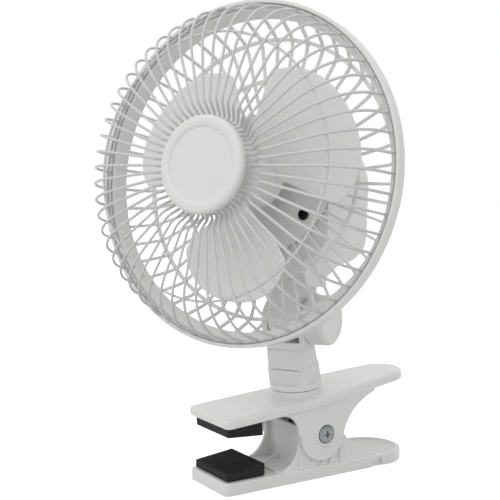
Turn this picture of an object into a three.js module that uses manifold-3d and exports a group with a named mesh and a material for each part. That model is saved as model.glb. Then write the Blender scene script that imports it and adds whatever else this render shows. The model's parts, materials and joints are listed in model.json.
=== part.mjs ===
// A desk fan on a spring clip: clip jaws, swivelling and tilting neck, motor head,
// three-blade rotor, moulded rear guard and kinked wire front guard.
// Millimetres, +Z up. The origin lies on the ground under the neck, the jaws point to -Y.

import * as THREE from 'three';
import { mergeVertices } from 'three/addons/utils/BufferGeometryUtils.js';
import Module from 'manifold-3d';

const wasm = await Module();
wasm.setup();

// ---------- Driving dimensions ----------

const seatGap = 0.3; // between pieces that rest on or turn in each other
const halfTurn = Math.PI;
const quarterTurn = Math.PI / 2;

// Lower jaw of the clip
const wallOuter = 19;
const wallThickness = 2.4;
const sideRibProud = 1.8;
const baseHalfWidth = wallOuter + sideRibProud;
const baseHeight = 7;
const baseFront = -62;
const baseRear = 76;
const baseCorner = 4;
const baseSkin = 2;
const baseRib = 1.8;
const keelWidth = 3;
const cavityRear = 26;
const throatCentreY = -27;
const throatRadius = 16.3;
const throatOpenAngle = 28;
const cheekRadius = 12.5;
const wallTail = 50;
const wallTailBend = 4; // above the base
const cheekAngles = [130, 20];
const crossWallRear = -6;
const crossWallThickness = 2;
const crossWallRise = 4.8; // above the clip pivot
const gussetX = 8;
const gussetThickness = 1.6;
const gussetLength = 14;
const gussetHeight = 7;
const floorStepY = -26;
const floorStepHeight = 1.2;
const floorStepLength = 1.6;
const scoopStart = 30;
const scoopMargin = 2.4;
const scoopDepth = 4.2;
const notchY = 46;
const notchWidth = 12;
const notchHeight = 5.8;
const notchDepth = 1.4;
const sideRibThickness = 1.6;
const sideRibs = [-10.5, -2.6, 4.7, 11.4, 18.8];
const sideRibTop = 15.7;
const sideRibClearance = 1.2;

// Clip pivot, bolt and spring
const pivotY = 6.2;
const pivotZ = 26.2;
const boltRadius = 2;
const boltHeadRadius = 5.3;
const boltHeadHeight = 2.2;
const boltSlotLength = 2.6; // from the centre
const boltSlotHalfWidth = 0.5;
const boltSlotDepth = 1.1;
const nutRadius = 4.4;
const nutHeight = 3;
const sleeveRadius = 4.6;
const springWire = 1;
const springCurls = 6;
const springPitch = 2.6;
const springLegReach = 17;
const springSteps = 8;
const springSides = 5;

// Upper lever of the clip, drawn about the pivot with its top plane level
const earThickness = 2.2;
const earInset = 1;
const earInner = wallOuter + seatGap;
const earOuter = earInner + earThickness;
const leverHalfWidth = earOuter + earInset;
const leverPitch = 4.2;
const leverTop = 22.2;
const leverFront = -66.8;
const leverRear = 73.9;
const leverTailHalfWidth = 16.2;
const leverDepth = 5.5;
const leverSkin = 2.4;
const leverCorner = 3.5;
const handleRise = 3;
const handleStart = 0;
const narrowingStart = 8;
const narrowingBend = 20;
const handleBendPlace = 0.27; // of the handle's length
const handleBendRise = 0.73; // of the handle's rise
const padSeatLength = 28;
const padSeatThickness = 1.8;
const earRadius = 15.5;
const earOffset = -1.6;
const earEnd = 350; // degrees round the ear at which its web begins
const webBend = [earRadius + 3, 13];
const webOverlap = 2; // in the handle
const webReach = leverRear / 2 + webOverlap;
const leverThroatY = -30.4;
const leverThroatZ = 5;
const leverThroatRadius = 11.5;
const screwRingRadius = 7.1;
const screwRingHeight = 0.9;
const screwRecess = 0.4;
const bossRadius = 15;
const bossHeight = 3.5;

// Jaw pads
const padSideInset = 2.8;
const padHalfWidth = baseHalfWidth - padSideInset;
const padFrontInset = 2.6;
const lowerPadLength = 25;
const lowerPadFrontHeight = 4.4;
const lowerPadRearHeight = 7.2;
const upperPadLength = 23;
const upperPadFrontHeight = 5.7;
const upperPadRearHeight = 8.9;

// Neck
const neckOffset = -4.6; // neck axis, from the clip pivot along the lever
const neckPan = 25.03;
const flangeRadius = 15.8;
const flangeHeight = 3.4;
const postHalfWidth = 11.5;
const postFront = 12;
const postRear = 12;
const postTaper = 7;
const postCorner = 3.4;
const ridgeStep = 0.6;
const ridgeSlope = 1.4;
const ridgeHeights = [17, 28];
const tiltHeight = 45; // tilt axis above the lever's top plane
const tongueHalfWidth = 10.2;
const yokeFit = 0.4;
const yokeCheek = 4;
const yokeHalfWidth = tongueHalfWidth + yokeFit + yokeCheek;
const yokeRadius = 11.5;
const yokeFloor = 2;
const yokeStart = tiltHeight - yokeRadius - yokeFloor;
const swivelScrewRadius = 2.5;
const swivelHeadRadius = 5;
const swivelHeadHeight = 2.6;
const swivelWasherRadius = 8;
const swivelWasherThickness = 1.2;
const swivelScrewLength = 18;

// Tilt bolt and knob
const tiltBoltRadius = 2.5;
const tiltHeadRadius = 4.6;
const tiltHeadHeight = 3.2;
const knobRadius = 14.7;
const knobLength = 10.8;
const knobEdge = 2.2;
const insertRadius = 4.5;
const insertLength = 6;

// Head, seen from the front: x to the right, y up, z forward from the rim's front plane
const headTilt = 10.7;
const axisHeight = 79.2; // fan axis above the tilt axis
const rimForward = 65.3; // rim's front plane ahead of the tilt axis
const rimRadius = 95;
const rimDepth = 7;
const rimLip = 2;
const grooveDepth = 2.8;
const grooveWidth = 3.2;
const bowlDepth = 10.8;
const bowlInset = 8.4;
const bowlRadius = rimRadius - bowlInset;
const rimChamfer = 4;
const rimOverlap = 0.6; // of the grid's ribs in the rim
const bowlEdge = 1.4;
const rearRingInset = 15.3;
const rearRingRadius = rimRadius - rearRingInset;
const rearRingDepth = 28.8;
const middleRingRadius = 57.1;
const plateOverhang = 2; // of the centre plate beyond the motor housing
const plateDepth = 35;
const plateThickness = 2.4;
const rearRibs = 48;
const rearRibWidth = 1.6;
const rearRibThickness = 1.8;
const ringWidth = 2.2;

// Wire front guard
const wireCount = 64;
const wireRadius = 0.9;
const wireSides = 3;
const wirePlane = 30.6;
const wireInner = 19.5;
const kinkStartGap = 0.2; // outside the cap's edge
const kinkEnd = 35;
const kinkAngle = 7.7;
const wireLean = -3;
const shoulderRadius = 13;
const shoulderRingSet = 1.1; // its centre lies this far behind the wires' centres
const shoulderRingWidth = 1.6;
const shoulderSteps = [45, 90]; // degrees round the shoulder
const wireFit = 0.5;
const wireSeatRadius = rimRadius - rimLip - wireFit - wireRadius;
const wireSeatDepth = grooveDepth - seatGap - wireRadius;
const wireDraw = 2;
const wireReach = wireSeatRadius - wireDraw;
const shoulderRingInset = 6.3; // inside the shoulders' start
const shoulderRingRadius = wireReach - shoulderRadius - shoulderRingInset;

// Cap on the front guard
const capRadius = 26.8;
const capEdge = 2.6;
const capFaceProud = 4.4; // in front of the wires
const capFace = wirePlane + capFaceProud;
const capStepRadius = 19.8;
const capStep = 0.7;
const capSkin = 1.8;
const capBossRadius = 5;
const clampInset = 3.8;
const clampRadius = capRadius - clampInset;
const clampThickness = 2;
const capScrewRadius = 1.6;
const capScrewHead = 3.2;
const smallHeadHeight = 1.8;

// Blades
const bladeCount = 3;
const bladePhase = 5;
const bladeTipGap = 14.6; // from the tips to the bowl
const bladeRadius = bowlRadius - bladeTipGap;
const bladeThickness = 1.8;
const bladeRootSpread = 33;
const bladeSpread = 42;
const bladeFront = 6;
const bladeBack = -16;
const bladeRootOverlap = 1.5; // in the hub
const bladeCornerFall = 0.17; // share of the radius that a tip's corners lose
const bladeCamber = 2.5;
const bladeSwing = 1.05; // share of the blade's depth that its edges use at the hub
const bladeSwingFall = 0.2; // and how much less at the tip
const hubRadius = 17;
const hubFront = 8;
const hubBack = -22;
const hubSkin = 2;
const hubEdge = 3;
const hubBoss = 6.5;
const bladeNutRadius = 7;
const bladeNutLength = 6;

// Motor and its housing
const housingRadius = 38;
const housingBack = -92;
const housingBackEdge = 9;
const housingSkin = 3;
const housingStraight = 28;
const shoulderInset = 9.3; // where the shoulder is steepest, inside the drum's side
const shoulderFall = 44; // and below the fan axis
const shoulderBend = 38;
const stalkHalfWidth = 15.5;
const stalkStart = 54;
const stalkHalfDepth = 13;
const stalkEnd = 60;
const stalkBend = 8; // height of the curves between the stalk and the shoulders
const tongueOverlap = 4; // in the stalk
const shaftRadius = 3;
const shaftRearEnd = 6; // short of the housing's back
const bearingWall = 3;
const bearingRadius = shaftRadius + bearingWall;
const bearingLength = 5;
const bossWall = 2.5;
const bearingBoss = bearingRadius + bossWall;
const statorLength = 22;
const statorBack = -77;
const yokeRing = 5.5;
const poleWidth = 9;
const rotorRadius = 14;
const airGap = 0.5;
const coilThickness = 4;
const coilClearances = [2.5, 2.2]; // from the rotor's gap and from the ring
const screwPostWall = 1.3;
const frontPlateThickness = 2.4;
const guardScrewInset = 3.6; // inside the housing's bore
const guardScrewCircle = housingRadius - housingSkin - guardScrewInset;
const guardScrewAngle = 40;
const guardScrewRadius = 1.9;
const guardScrewHead = 3.2;
const guardScrewLength = 9;
const switchHeight = 17;
const switchSize = 15;
const switchDepth = 6.5;
const switchStem = 2.5;
const speedKnobRadius = 9.5;
const speedKnobLength = 9;
const speedKnobGrip = 2.2;
const glandHeight = -28;
const glandRadius = 4;
const glandBore = 2.6;
const glandFlange = 5.6;

const plateRadius = housingRadius + plateOverhang;
const bearingHole = bearingBoss + 2 * seatGap;

// ---------- Materials ----------

const finish = (color, roughness, metalness) =>
  new THREE.MeshStandardMaterial({ color, roughness, metalness });
const white = finish(0xe9e9e7, 0.42, 0);
const softWhite = finish(0xdcdcda, 0.5, 0);
const coatedWire = finish(0xe4e4e2, 0.38, 0);
const bladeTint = finish(0xcfcfcc, 0.4, 0);
const blackRubber = finish(0x161616, 0.85, 0);
const steel = finish(0xa9abad, 0.32, 1);
const springSteel = finish(0x55575a, 0.4, 1);
const laminations = finish(0x7d7f82, 0.5, 1);
const copper = finish(0xb0703a, 0.4, 1);
const brass = finish(0xc2a04e, 0.35, 1);

// ---------- Geometry helpers ----------

const degrees = (value) => THREE.MathUtils.degToRad(value);

// A closed three.js geometry as a solid that can be joined and cut.
function solid(geometry) {
  const bare = new THREE.BufferGeometry();
  bare.setAttribute('position', geometry.getAttribute('position'));
  if (geometry.index) bare.setIndex(geometry.index);
  const merged = mergeVertices(bare, 1e-4);
  return new wasm.Manifold(
    new wasm.Mesh({
      numProp: 3,
      vertProperties: new Float32Array(merged.attributes.position.array),
      triVerts: new Uint32Array(merged.index.array),
    }),
  );
}

const join = (solids) => solids.reduce((whole, next) => whole.add(next));

function cut(whole, solids) {
  return solids.reduce((left, next) => left.subtract(next), whole);
}

// A named mesh of a finished solid.
function piece(name, material, body) {
  const data = body.getMesh();
  const geometry = new THREE.BufferGeometry();
  geometry.setAttribute('position', new THREE.BufferAttribute(data.vertProperties, data.numProp));
  geometry.setIndex(new THREE.BufferAttribute(data.triVerts, 1));
  const faceted = geometry.toNonIndexed();
  faceted.computeVertexNormals();
  const mesh = new THREE.Mesh(faceted, material);
  mesh.name = name;
  return mesh;
}

// A box between two corners.
function block(low, high) {
  const size = high.map((value, i) => value - low[i]);
  const box = new THREE.BoxGeometry(...size);
  return solid(box.translate(...low.map((value, i) => value + size[i] / 2)));
}

// An outline in x and y, raised along z from one height to the other.
function prism(shape, from, to, curveSegments = 12) {
  const body = new THREE.ExtrudeGeometry(shape, {
    depth: to - from,
    bevelEnabled: false,
    curveSegments,
  });
  return solid(body.translate(0, 0, from));
}

// An outline in y and z, carried along x from one place to the other.
function sidePlate(shape, from, to, curveSegments = 12) {
  const body = new THREE.ExtrudeGeometry(shape, {
    depth: to - from,
    bevelEnabled: false,
    curveSegments,
  });
  const turn = new THREE.Matrix4().makeBasis(
    new THREE.Vector3(0, 1, 0),
    new THREE.Vector3(0, 0, 1),
    new THREE.Vector3(1, 0, 0),
  );
  return solid(body.translate(0, 0, from).applyMatrix4(turn));
}

// A profile of [radius, height] points turned about z, which ends on the axis or closes on itself.
function turned(profile, segments = 32) {
  const points = profile.map(([r, h]) => new THREE.Vector2(r, h));
  return solid(new THREE.LatheGeometry(points, segments).rotateX(quarterTurn));
}

const closed = (profile) => [...profile, profile[0]];

// A round bar about the z axis at a place in x and y.
function bar(radius, from, to, x = 0, y = 0, segments = 12) {
  const rod = new THREE.CylinderGeometry(radius, radius, to - from, segments);
  return solid(rod.rotateX(quarterTurn).translate(x, y, (from + to) / 2));
}

// A round bar along the x axis.
function crossBar(radius, from, to, y = 0, z = 0, segments = 12) {
  const rod = new THREE.CylinderGeometry(radius, radius, to - from, segments);
  return solid(rod.rotateZ(quarterTurn).translate((from + to) / 2, y, z));
}

// A path that passes through its points in even steps of its parameter.
class PointPath extends THREE.Curve {
  constructor(points) {
    super();
    this.points = points;
  }

  getPoint(t) {
    const place = Math.min(Math.max(t, 0), 1) * (this.points.length - 1);
    const index = Math.min(Math.floor(place), this.points.length - 2);
    return this.points[index].clone().lerp(this.points[index + 1], place - index);
  }

  getPointAt(t) {
    return this.getPoint(t);
  }
}

// A tube of a few sides along points, with closed ends.
function tube(points, radius, sides) {
  const section = new THREE.Shape();
  for (let i = 0; i < sides; i += 1) {
    const angle = ((i + 0.5) / sides) * 2 * halfTurn;
    const corner = [radius * Math.cos(angle), radius * Math.sin(angle)];
    if (i === 0) section.moveTo(...corner);
    else section.lineTo(...corner);
  }
  return solid(
    new THREE.ExtrudeGeometry(section, {
      steps: points.length - 1,
      bevelEnabled: false,
      extrudePath: new PointPath(points),
    }),
  );
}

// Two triangles between four corners, and the same turned over on demand.
const quad = (a, b, c, d) => [a, b, c, a, c, d];
const facing = (over, corners) => quad(...(over ? [...corners].reverse() : corners));

// A solid from its corners and its triangles.
function skin(positions, faces) {
  const geometry = new THREE.BufferGeometry();
  geometry.setAttribute('position', new THREE.Float32BufferAttribute(positions, 3));
  geometry.setIndex(faces);
  return solid(geometry);
}

// A closed skin over rings of points, one above the other, each counter-clockwise seen from the last.
function loft(rings) {
  const count = rings[0].length;
  const positions = rings.flat().flatMap((p) => [p.x, p.y, p.z]);
  const faces = [];
  for (let level = 0; level < rings.length - 1; level += 1) {
    for (let i = 0; i < count; i += 1) {
      const a = level * count + i;
      const b = level * count + ((i + 1) % count);
      faces.push(a, b, b + count, a, b + count, a + count);
    }
  }
  const top = (rings.length - 1) * count;
  for (let i = 1; i < count - 1; i += 1) {
    faces.push(0, i + 1, i, top, top + i, top + i + 1);
  }
  return skin(positions, faces);
}

// A plan outline that is mirrored about x = 0, from its right-hand half.
function mirroredPlan(drawRight) {
  const right = new THREE.Shape();
  drawRight(right);
  const half = right.getPoints(3);
  const left = half.map((p) => new THREE.Vector2(-p.x, p.y)).reverse();
  return new THREE.Shape([...half, ...left.filter((p) => Math.abs(p.x) > 1e-6)]);
}

const mirrorX = (body) => body.mirror([1, 0, 0]);
const bothSides = (body) => body.add(mirrorX(body));

// ---------- Clip: lower jaw ----------

function basePlan(inset) {
  const half = baseHalfWidth - inset;
  const corner = Math.max(baseCorner - inset, 0.5);
  return mirroredPlan((outline) => {
    outline.moveTo(0, baseFront + inset);
    outline.lineTo(half - corner, baseFront + inset);
    outline.absarc(half - corner, baseFront + inset + corner, corner, -quarterTurn, 0);
    outline.lineTo(half, baseRear - baseHalfWidth);
    outline.absarc(0, baseRear - baseHalfWidth, half, 0, quarterTurn);
  });
}

function baseShell() {
  const cavity = prism(basePlan(baseSkin), -1, baseHeight - baseSkin).intersect(
    block([-baseHalfWidth, baseFront, -1], [baseHalfWidth, cavityRear, baseHeight]),
  );
  const scoop = new THREE.SphereGeometry(1, 20, 10);
  scoop.scale(baseHalfWidth - scoopMargin, (baseRear - scoopMargin - scoopStart) / 2, scoopDepth);
  scoop.translate(0, (baseRear - scoopMargin + scoopStart) / 2, baseHeight);
  return cut(prism(basePlan(0), 0, baseHeight), [cavity, solid(scoop), ...sideNotches()]);
}

function sideNotches() {
  const outline = new THREE.Shape();
  outline.moveTo(notchY - notchWidth / 2, -1);
  outline.lineTo(notchY + notchWidth / 2, -1);
  outline.lineTo(notchY + notchWidth / 4, notchHeight);
  const right = sidePlate(outline, baseHalfWidth - notchDepth, baseHalfWidth + 1);
  return [right, mirrorX(right)];
}

function baseRibs() {
  const low = baseFront + baseSkin / 2;
  const high = cavityRear + 0.5;
  const inner = baseHalfWidth - baseSkin / 2;
  const top = baseHeight - baseSkin / 2;
  const along = block([-keelWidth / 2, low, 0], [keelWidth / 2, high, top]);
  const across = [baseFront / 2, 0].map((y) =>
    block([-inner, y - baseRib / 2, baseRib], [inner, y + baseRib / 2, top]),
  );
  return join([along, ...across]);
}

// Outline of a side wall: throat, cheek round the pivot and the falling tail.
function wallOutline() {
  const foot = baseHeight - baseSkin / 2;
  const throatZ = baseHeight + throatRadius;
  const [cheekStart, cheekEnd] = cheekAngles;
  const outline = new THREE.Shape();
  outline.moveTo(throatCentreY, foot);
  outline.lineTo(throatCentreY, baseHeight);
  outline.absarc(throatCentreY, throatZ, throatRadius, -quarterTurn, degrees(throatOpenAngle));
  outline.absarc(pivotY, pivotZ, cheekRadius, degrees(cheekStart), degrees(cheekEnd), true);
  outline.quadraticCurveTo((pivotY + wallTail) / 2, baseHeight + wallTailBend, wallTail, baseHeight);
  outline.lineTo(wallTail, foot);
  return outline;
}

function sideWalls() {
  const inner = wallOuter - wallThickness;
  const wall = sidePlate(wallOutline(), inner, wallOuter, 6);
  return bothSides(wall);
}

// Short ribs on the outside of each wall, which stop below the lever's ear.
function wallRibs() {
  const earFloor = (y) => {
    const across = y - (pivotY + earOffset);
    const radius = earRadius + sideRibClearance;
    return Math.abs(across) < radius ? pivotZ - Math.sqrt(radius ** 2 - across ** 2) : sideRibTop;
  };
  const ribs = sideRibs.map((y) =>
    block(
      [wallOuter - 0.5, y - sideRibThickness / 2, baseHeight - baseSkin / 2],
      [baseHalfWidth, y + sideRibThickness / 2, Math.min(sideRibTop, earFloor(y))],
    ),
  );
  return bothSides(join(ribs));
}

function crossWall() {
  const inner = wallOuter - wallThickness / 2;
  const front = crossWallRear - crossWallThickness;
  const foot = baseHeight - baseSkin / 2;
  const wall = block([-inner, front, foot], [inner, crossWallRear, pivotZ + crossWallRise]);
  const outline = new THREE.Shape();
  outline.moveTo(front - gussetLength, foot);
  outline.lineTo(front + 0.5, foot);
  outline.lineTo(front + 0.5, baseHeight + gussetHeight);
  outline.quadraticCurveTo(front, baseHeight, front - gussetLength, baseHeight);
  const gusset = sidePlate(outline, gussetX - gussetThickness / 2, gussetX + gussetThickness / 2, 5);
  const step = block(
    [-inner, floorStepY, foot],
    [inner, floorStepY + floorStepLength, baseHeight + floorStepHeight],
  );
  return join([wall, bothSides(gusset), step]);
}

function lowerJaw() {
  const body = join([baseShell(), baseRibs(), sideWalls(), wallRibs(), crossWall()]);
  const hole = crossBar(boltRadius + seatGap, -wallOuter - 1, wallOuter + 1, pivotY, pivotZ);
  return cut(body, [hole]);
}

// ---------- Clip: pads ----------

// A wedge whose flat side lies on z = 0 and whose front edge is at y = 0.
function wedgePad(length, frontHeight, rearHeight) {
  const outline = new THREE.Shape();
  outline.moveTo(0, 0);
  outline.lineTo(length, 0);
  outline.lineTo(length, rearHeight);
  outline.lineTo(0, frontHeight);
  return sidePlate(outline, -padHalfWidth, padHalfWidth);
}

function lowerPad() {
  const pad = wedgePad(lowerPadLength, lowerPadFrontHeight, lowerPadRearHeight);
  return pad.translate([0, baseFront + padFrontInset, baseHeight + seatGap]);
}

function upperPad() {
  const pad = wedgePad(upperPadLength, upperPadFrontHeight, upperPadRearHeight);
  const seat = leverTop - leverDepth - seatGap;
  return pad.mirror([0, 0, 1]).translate([0, leverFront + padFrontInset, seat]);
}

// ---------- Clip: upper lever ----------

function leverPlan(inset) {
  const half = leverHalfWidth - inset;
  const tail = leverTailHalfWidth - inset;
  const corner = Math.max(leverCorner - inset, 0.5);
  const tailCentre = leverRear - leverTailHalfWidth;
  return mirroredPlan((outline) => {
    outline.moveTo(0, leverFront + inset);
    outline.lineTo(half - corner, leverFront + inset);
    outline.absarc(half - corner, leverFront + inset + corner, corner, -quarterTurn, 0);
    outline.lineTo(half, narrowingStart);
    outline.quadraticCurveTo(half - 1, narrowingBend, tail, tailCentre);
    outline.absarc(0, tailCentre, tail, 0, quarterTurn);
  });
}

// The lever's side view between two depths below its top: level over the jaw, then a rising handle.
function leverSide(upper, lower) {
  const bend = handleStart + (leverRear - handleStart) * handleBendPlace;
  const bendRise = handleRise * handleBendRise;
  const outline = new THREE.Shape();
  outline.moveTo(leverFront - 1, leverTop - upper);
  outline.lineTo(leverFront - 1, leverTop - lower);
  outline.lineTo(handleStart, leverTop - lower);
  outline.quadraticCurveTo(bend, leverTop - lower + bendRise, leverRear + 1, leverTop - lower + handleRise);
  outline.lineTo(leverRear + 1, leverTop - upper + handleRise);
  outline.quadraticCurveTo(bend, leverTop - upper + bendRise, handleStart, leverTop - upper);
  return outline;
}

function leverSlab(inset, upper, lower) {
  const slice = sidePlate(leverSide(upper, lower), -leverHalfWidth - 1, leverHalfWidth + 1, 5);
  return slice.intersect(prism(leverPlan(inset), -2 * leverTop, 2 * leverTop));
}

function padSeat() {
  const low = leverTop - leverDepth;
  return block(
    [-leverHalfWidth + leverSkin / 2, leverFront + leverSkin / 2, low],
    [leverHalfWidth - leverSkin / 2, leverFront + padSeatLength, low + padSeatThickness],
  );
}

// Outline of an ear: throat arc, round end below the pivot and the concave web to the handle.
function earOutline() {
  const top = leverTop - leverSkin / 2;
  const throatSide = leverThroatY + leverThroatRadius;
  const outline = new THREE.Shape();
  outline.moveTo(leverThroatY, top);
  outline.lineTo(leverThroatY, leverThroatZ + leverThroatRadius);
  outline.absarc(leverThroatY, leverThroatZ, leverThroatRadius, quarterTurn, 0, true);
  outline.quadraticCurveTo(throatSide, 2, earOffset - earRadius, 0);
  outline.absarc(earOffset, 0, earRadius, halfTurn, degrees(earEnd));
  outline.quadraticCurveTo(...webBend, webReach, leverTop - leverDepth + webOverlap);
  outline.lineTo(webReach, top);
  return outline;
}

function ears() {
  const ear = sidePlate(earOutline(), earInner, earOuter, 5);
  const ring = crossBar(screwRingRadius, earOuter - 0.5, earOuter + screwRingHeight, 0, 0, 24);
  return bothSides(ear.add(ring));
}

function upperLever() {
  const shell = leverSlab(0, 0, leverDepth).subtract(leverSlab(leverSkin, leverSkin, leverDepth + 1));
  const boss = bar(bossRadius, leverTop - leverSkin / 2, leverTop + bossHeight, 0, neckOffset, 32);
  const body = join([shell, padSeat(), ears(), boss]);
  const side = earOuter + screwRingHeight + 1;
  const recess = crossBar(boltHeadRadius + seatGap, earOuter - screwRecess, side, 0, 0, 24);
  return cut(body, [
    crossBar(boltRadius + seatGap, -side, side),
    bothSides(recess),
    bar(swivelScrewRadius + seatGap, leverTop - leverSkin - 1, leverTop + bossHeight + 1, 0, neckOffset),
  ]);
}

// ---------- Clip: bolt, nut, sleeve and spring ----------

const boltSeat = earOuter - screwRecess + seatGap;

function pivotBolt() {
  const head = turned([
    [0, 0],
    [boltHeadRadius, 0],
    [boltHeadRadius, boltHeadHeight * 0.4],
    [boltHeadRadius * 0.7, boltHeadHeight * 0.9],
    [0, boltHeadHeight],
  ]);
  const slot = block(
    [-boltSlotLength, -boltSlotHalfWidth, boltHeadHeight - boltSlotDepth],
    [boltSlotLength, boltSlotHalfWidth, boltHeadHeight + 1],
  );
  const shank = bar(boltRadius, -2 * boltSeat - nutHeight - 1, 0.5);
  return head
    .subtract(slot.add(slot.rotate([0, 0, 90])))
    .add(shank)
    .rotate([0, 90, 0])
    .translate([boltSeat, pivotY, pivotZ]);
}

function pivotNut() {
  const nut = bar(nutRadius, 0, nutHeight, 0, 0, 6);
  return nut
    .subtract(bar(boltRadius + seatGap, -1, nutHeight + 1))
    .rotate([0, -90, 0])
    .translate([-boltSeat, pivotY, pivotZ]);
}

function pivotSleeve() {
  const half = wallOuter - wallThickness - seatGap;
  const sleeve = crossBar(sleeveRadius, -half, half, pivotY, pivotZ);
  return sleeve.subtract(crossBar(boltRadius + seatGap, -half - 1, half + 1, pivotY, pivotZ));
}

// Torsion spring: one wire from the foot leg through its curls to the leg under the handle.
function springPath() {
  const radius = sleeveRadius + seatGap + springWire;
  const turns = springCurls + 1 / 3;
  const steps = Math.round(turns * springSteps);
  const start = degrees(-120);
  const coil = [];
  for (let i = 0; i <= steps; i += 1) {
    const angle = start - (i / steps) * turns * 2 * halfTurn;
    const x = (i / steps - 0.5) * turns * springPitch;
    coil.push(new THREE.Vector3(x, radius * Math.cos(angle), radius * Math.sin(angle)));
  }
  const footZ = baseHeight + seatGap + springWire - pivotZ;
  const first = coil[0];
  const last = coil[coil.length - 1];
  const handleZ = leverTop - leverSkin - springWire - seatGap;
  const handle = new THREE.Vector3(last.x, springLegReach, handleZ);
  handle.applyAxisAngle(new THREE.Vector3(1, 0, 0), degrees(leverPitch));
  const foot = new THREE.Vector3(first.x, springLegReach, footZ);
  return { foot, coil, handle };
}

// A ring of the wire round a point, across a direction that lies in or near the plane of y and z.
function springRing(centre, along) {
  const across = new THREE.Vector3(1, 0, 0);
  const outward = new THREE.Vector3().crossVectors(along, across).normalize();
  return Array.from({ length: springSides }, (_, i) => {
    const angle = (i / springSides) * 2 * halfTurn;
    return centre
      .clone()
      .addScaledVector(across, springWire * Math.cos(angle))
      .addScaledVector(outward, springWire * Math.sin(angle));
  });
}

function torsionSpring() {
  const { foot, coil, handle } = springPath();
  const points = [foot, ...coil, handle];
  const rings = points.map((point, i) => {
    const before = points[Math.max(i - 1, 0)];
    const after = points[Math.min(i + 1, points.length - 1)];
    return springRing(point, after.clone().sub(before));
  });
  console.log(`spring's least gap to itself ${springGap(coil).toFixed(2)} mm`);
  return loft(rings).translate([0, pivotY, pivotZ]);
}

// Least distance between curls, measured between the wire's surfaces.
function springGap(coil) {
  let least = Infinity;
  coil.forEach((a, i) => {
    coil.slice(i + springSteps - 1).forEach((b) => {
      least = Math.min(least, a.distanceTo(b));
    });
  });
  return least - 2 * springWire;
}

// ---------- Neck ----------

// A rounded rectangle of the post at a height, its plane rising towards the rear.
function postSection(height, half, front, rear, slope) {
  const shape = new THREE.Shape();
  const r = postCorner;
  shape.absarc(half - r, rear - r, r, 0, quarterTurn);
  shape.absarc(-half + r, rear - r, r, quarterTurn, halfTurn);
  shape.absarc(-half + r, -front + r, r, halfTurn, 1.5 * halfTurn);
  shape.absarc(half - r, -front + r, r, 1.5 * halfTurn, 2 * halfTurn);
  return shape
    .getPoints(2)
    .map((p) => new THREE.Vector3(p.x, p.y, height + (slope * (p.y + front)) / (front + rear)));
}

function postLoft() {
  const foot = bossHeight + seatGap + flangeHeight - 1;
  const [low, high] = ridgeHeights;
  const rearAt = (height) => postRear - (postTaper * (height - foot)) / (high - foot);
  const lower = loft([
    postSection(foot, postHalfWidth, postFront, postRear, 0),
    postSection(low, postHalfWidth + ridgeStep, postFront, rearAt(low) + ridgeStep, ridgeSlope),
  ]);
  const upper = loft([
    postSection(low - 1, postHalfWidth, postFront, rearAt(low), ridgeSlope),
    postSection(high, postHalfWidth + ridgeStep, postFront, rearAt(high) + ridgeStep, ridgeSlope),
  ]);
  const collar = loft([
    postSection(high - 1, postHalfWidth, postFront - 1, rearAt(high), ridgeSlope),
    postSection(yokeStart, yokeHalfWidth, yokeRadius, yokeRadius * 0.6, 0),
    postSection(yokeStart + 3, yokeHalfWidth, yokeRadius, yokeRadius, 0),
  ]);
  return join([lower, upper, collar]);
}

// The fork that carries the head: two round cheeks with the tongue's slot between them.
function yoke() {
  const outline = new THREE.Shape();
  outline.moveTo(-yokeRadius, yokeStart + 1);
  outline.lineTo(yokeRadius, yokeStart + 1);
  outline.lineTo(yokeRadius, tiltHeight);
  outline.absarc(0, tiltHeight, yokeRadius, 0, halfTurn);
  const fork = sidePlate(outline, -yokeHalfWidth, yokeHalfWidth, 7);
  const half = tongueHalfWidth + yokeFit;
  const slotFloor = tiltHeight - yokeRadius - yokeFit;
  const reach = 2 * yokeRadius;
  return { fork, slot: block([-half, -reach, slotFloor], [half, reach, tiltHeight + reach]) };
}

function neckPost() {
  const bottom = bossHeight + seatGap;
  const { fork, slot } = yoke();
  const flange = bar(flangeRadius, bottom, bottom + flangeHeight, 0, 0, 32);
  const body = join([flange, postLoft(), fork]);
  const headPocket = -yokeHalfWidth + tiltHeadHeight - 1;
  return cut(body, [
    slot,
    crossBar(tiltBoltRadius + seatGap, -2 * yokeHalfWidth, 2 * yokeHalfWidth, 0, tiltHeight),
    crossBar(tiltHeadRadius + seatGap, -yokeHalfWidth - 1, headPocket, 0, tiltHeight, 6),
    bar(swivelScrewRadius + seatGap, bottom - 1, bottom + swivelScrewLength),
  ]);
}

function swivelWasher() {
  const top = -leverSkin - seatGap;
  const disc = bar(swivelWasherRadius, top - swivelWasherThickness, top);
  return disc.subtract(bar(swivelScrewRadius + seatGap, top - 5, top + 1));
}

function swivelScrew() {
  const top = -leverSkin - swivelWasherThickness - 2 * seatGap;
  const head = bar(swivelHeadRadius, top - swivelHeadHeight, top);
  return head.add(bar(swivelScrewRadius, top - 0.5, top + swivelScrewLength));
}

// ---------- Tilt bolt and knob ----------

const knobInner = yokeHalfWidth + seatGap;

function tiltBolt() {
  const seat = -yokeHalfWidth + tiltHeadHeight - 1 - seatGap;
  const head = crossBar(tiltHeadRadius, seat - tiltHeadHeight, seat, 0, tiltHeight, 6);
  const end = knobInner + seatGap + insertLength;
  return head.add(crossBar(tiltBoltRadius, seat - 0.5, end, 0, tiltHeight));
}

function knobInsert() {
  const from = knobInner + seatGap;
  const to = from + insertLength;
  const sleeve = crossBar(insertRadius, from, to, 0, tiltHeight);
  return sleeve.subtract(crossBar(tiltBoltRadius + seatGap, from - 1, to + 1, 0, tiltHeight));
}

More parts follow.
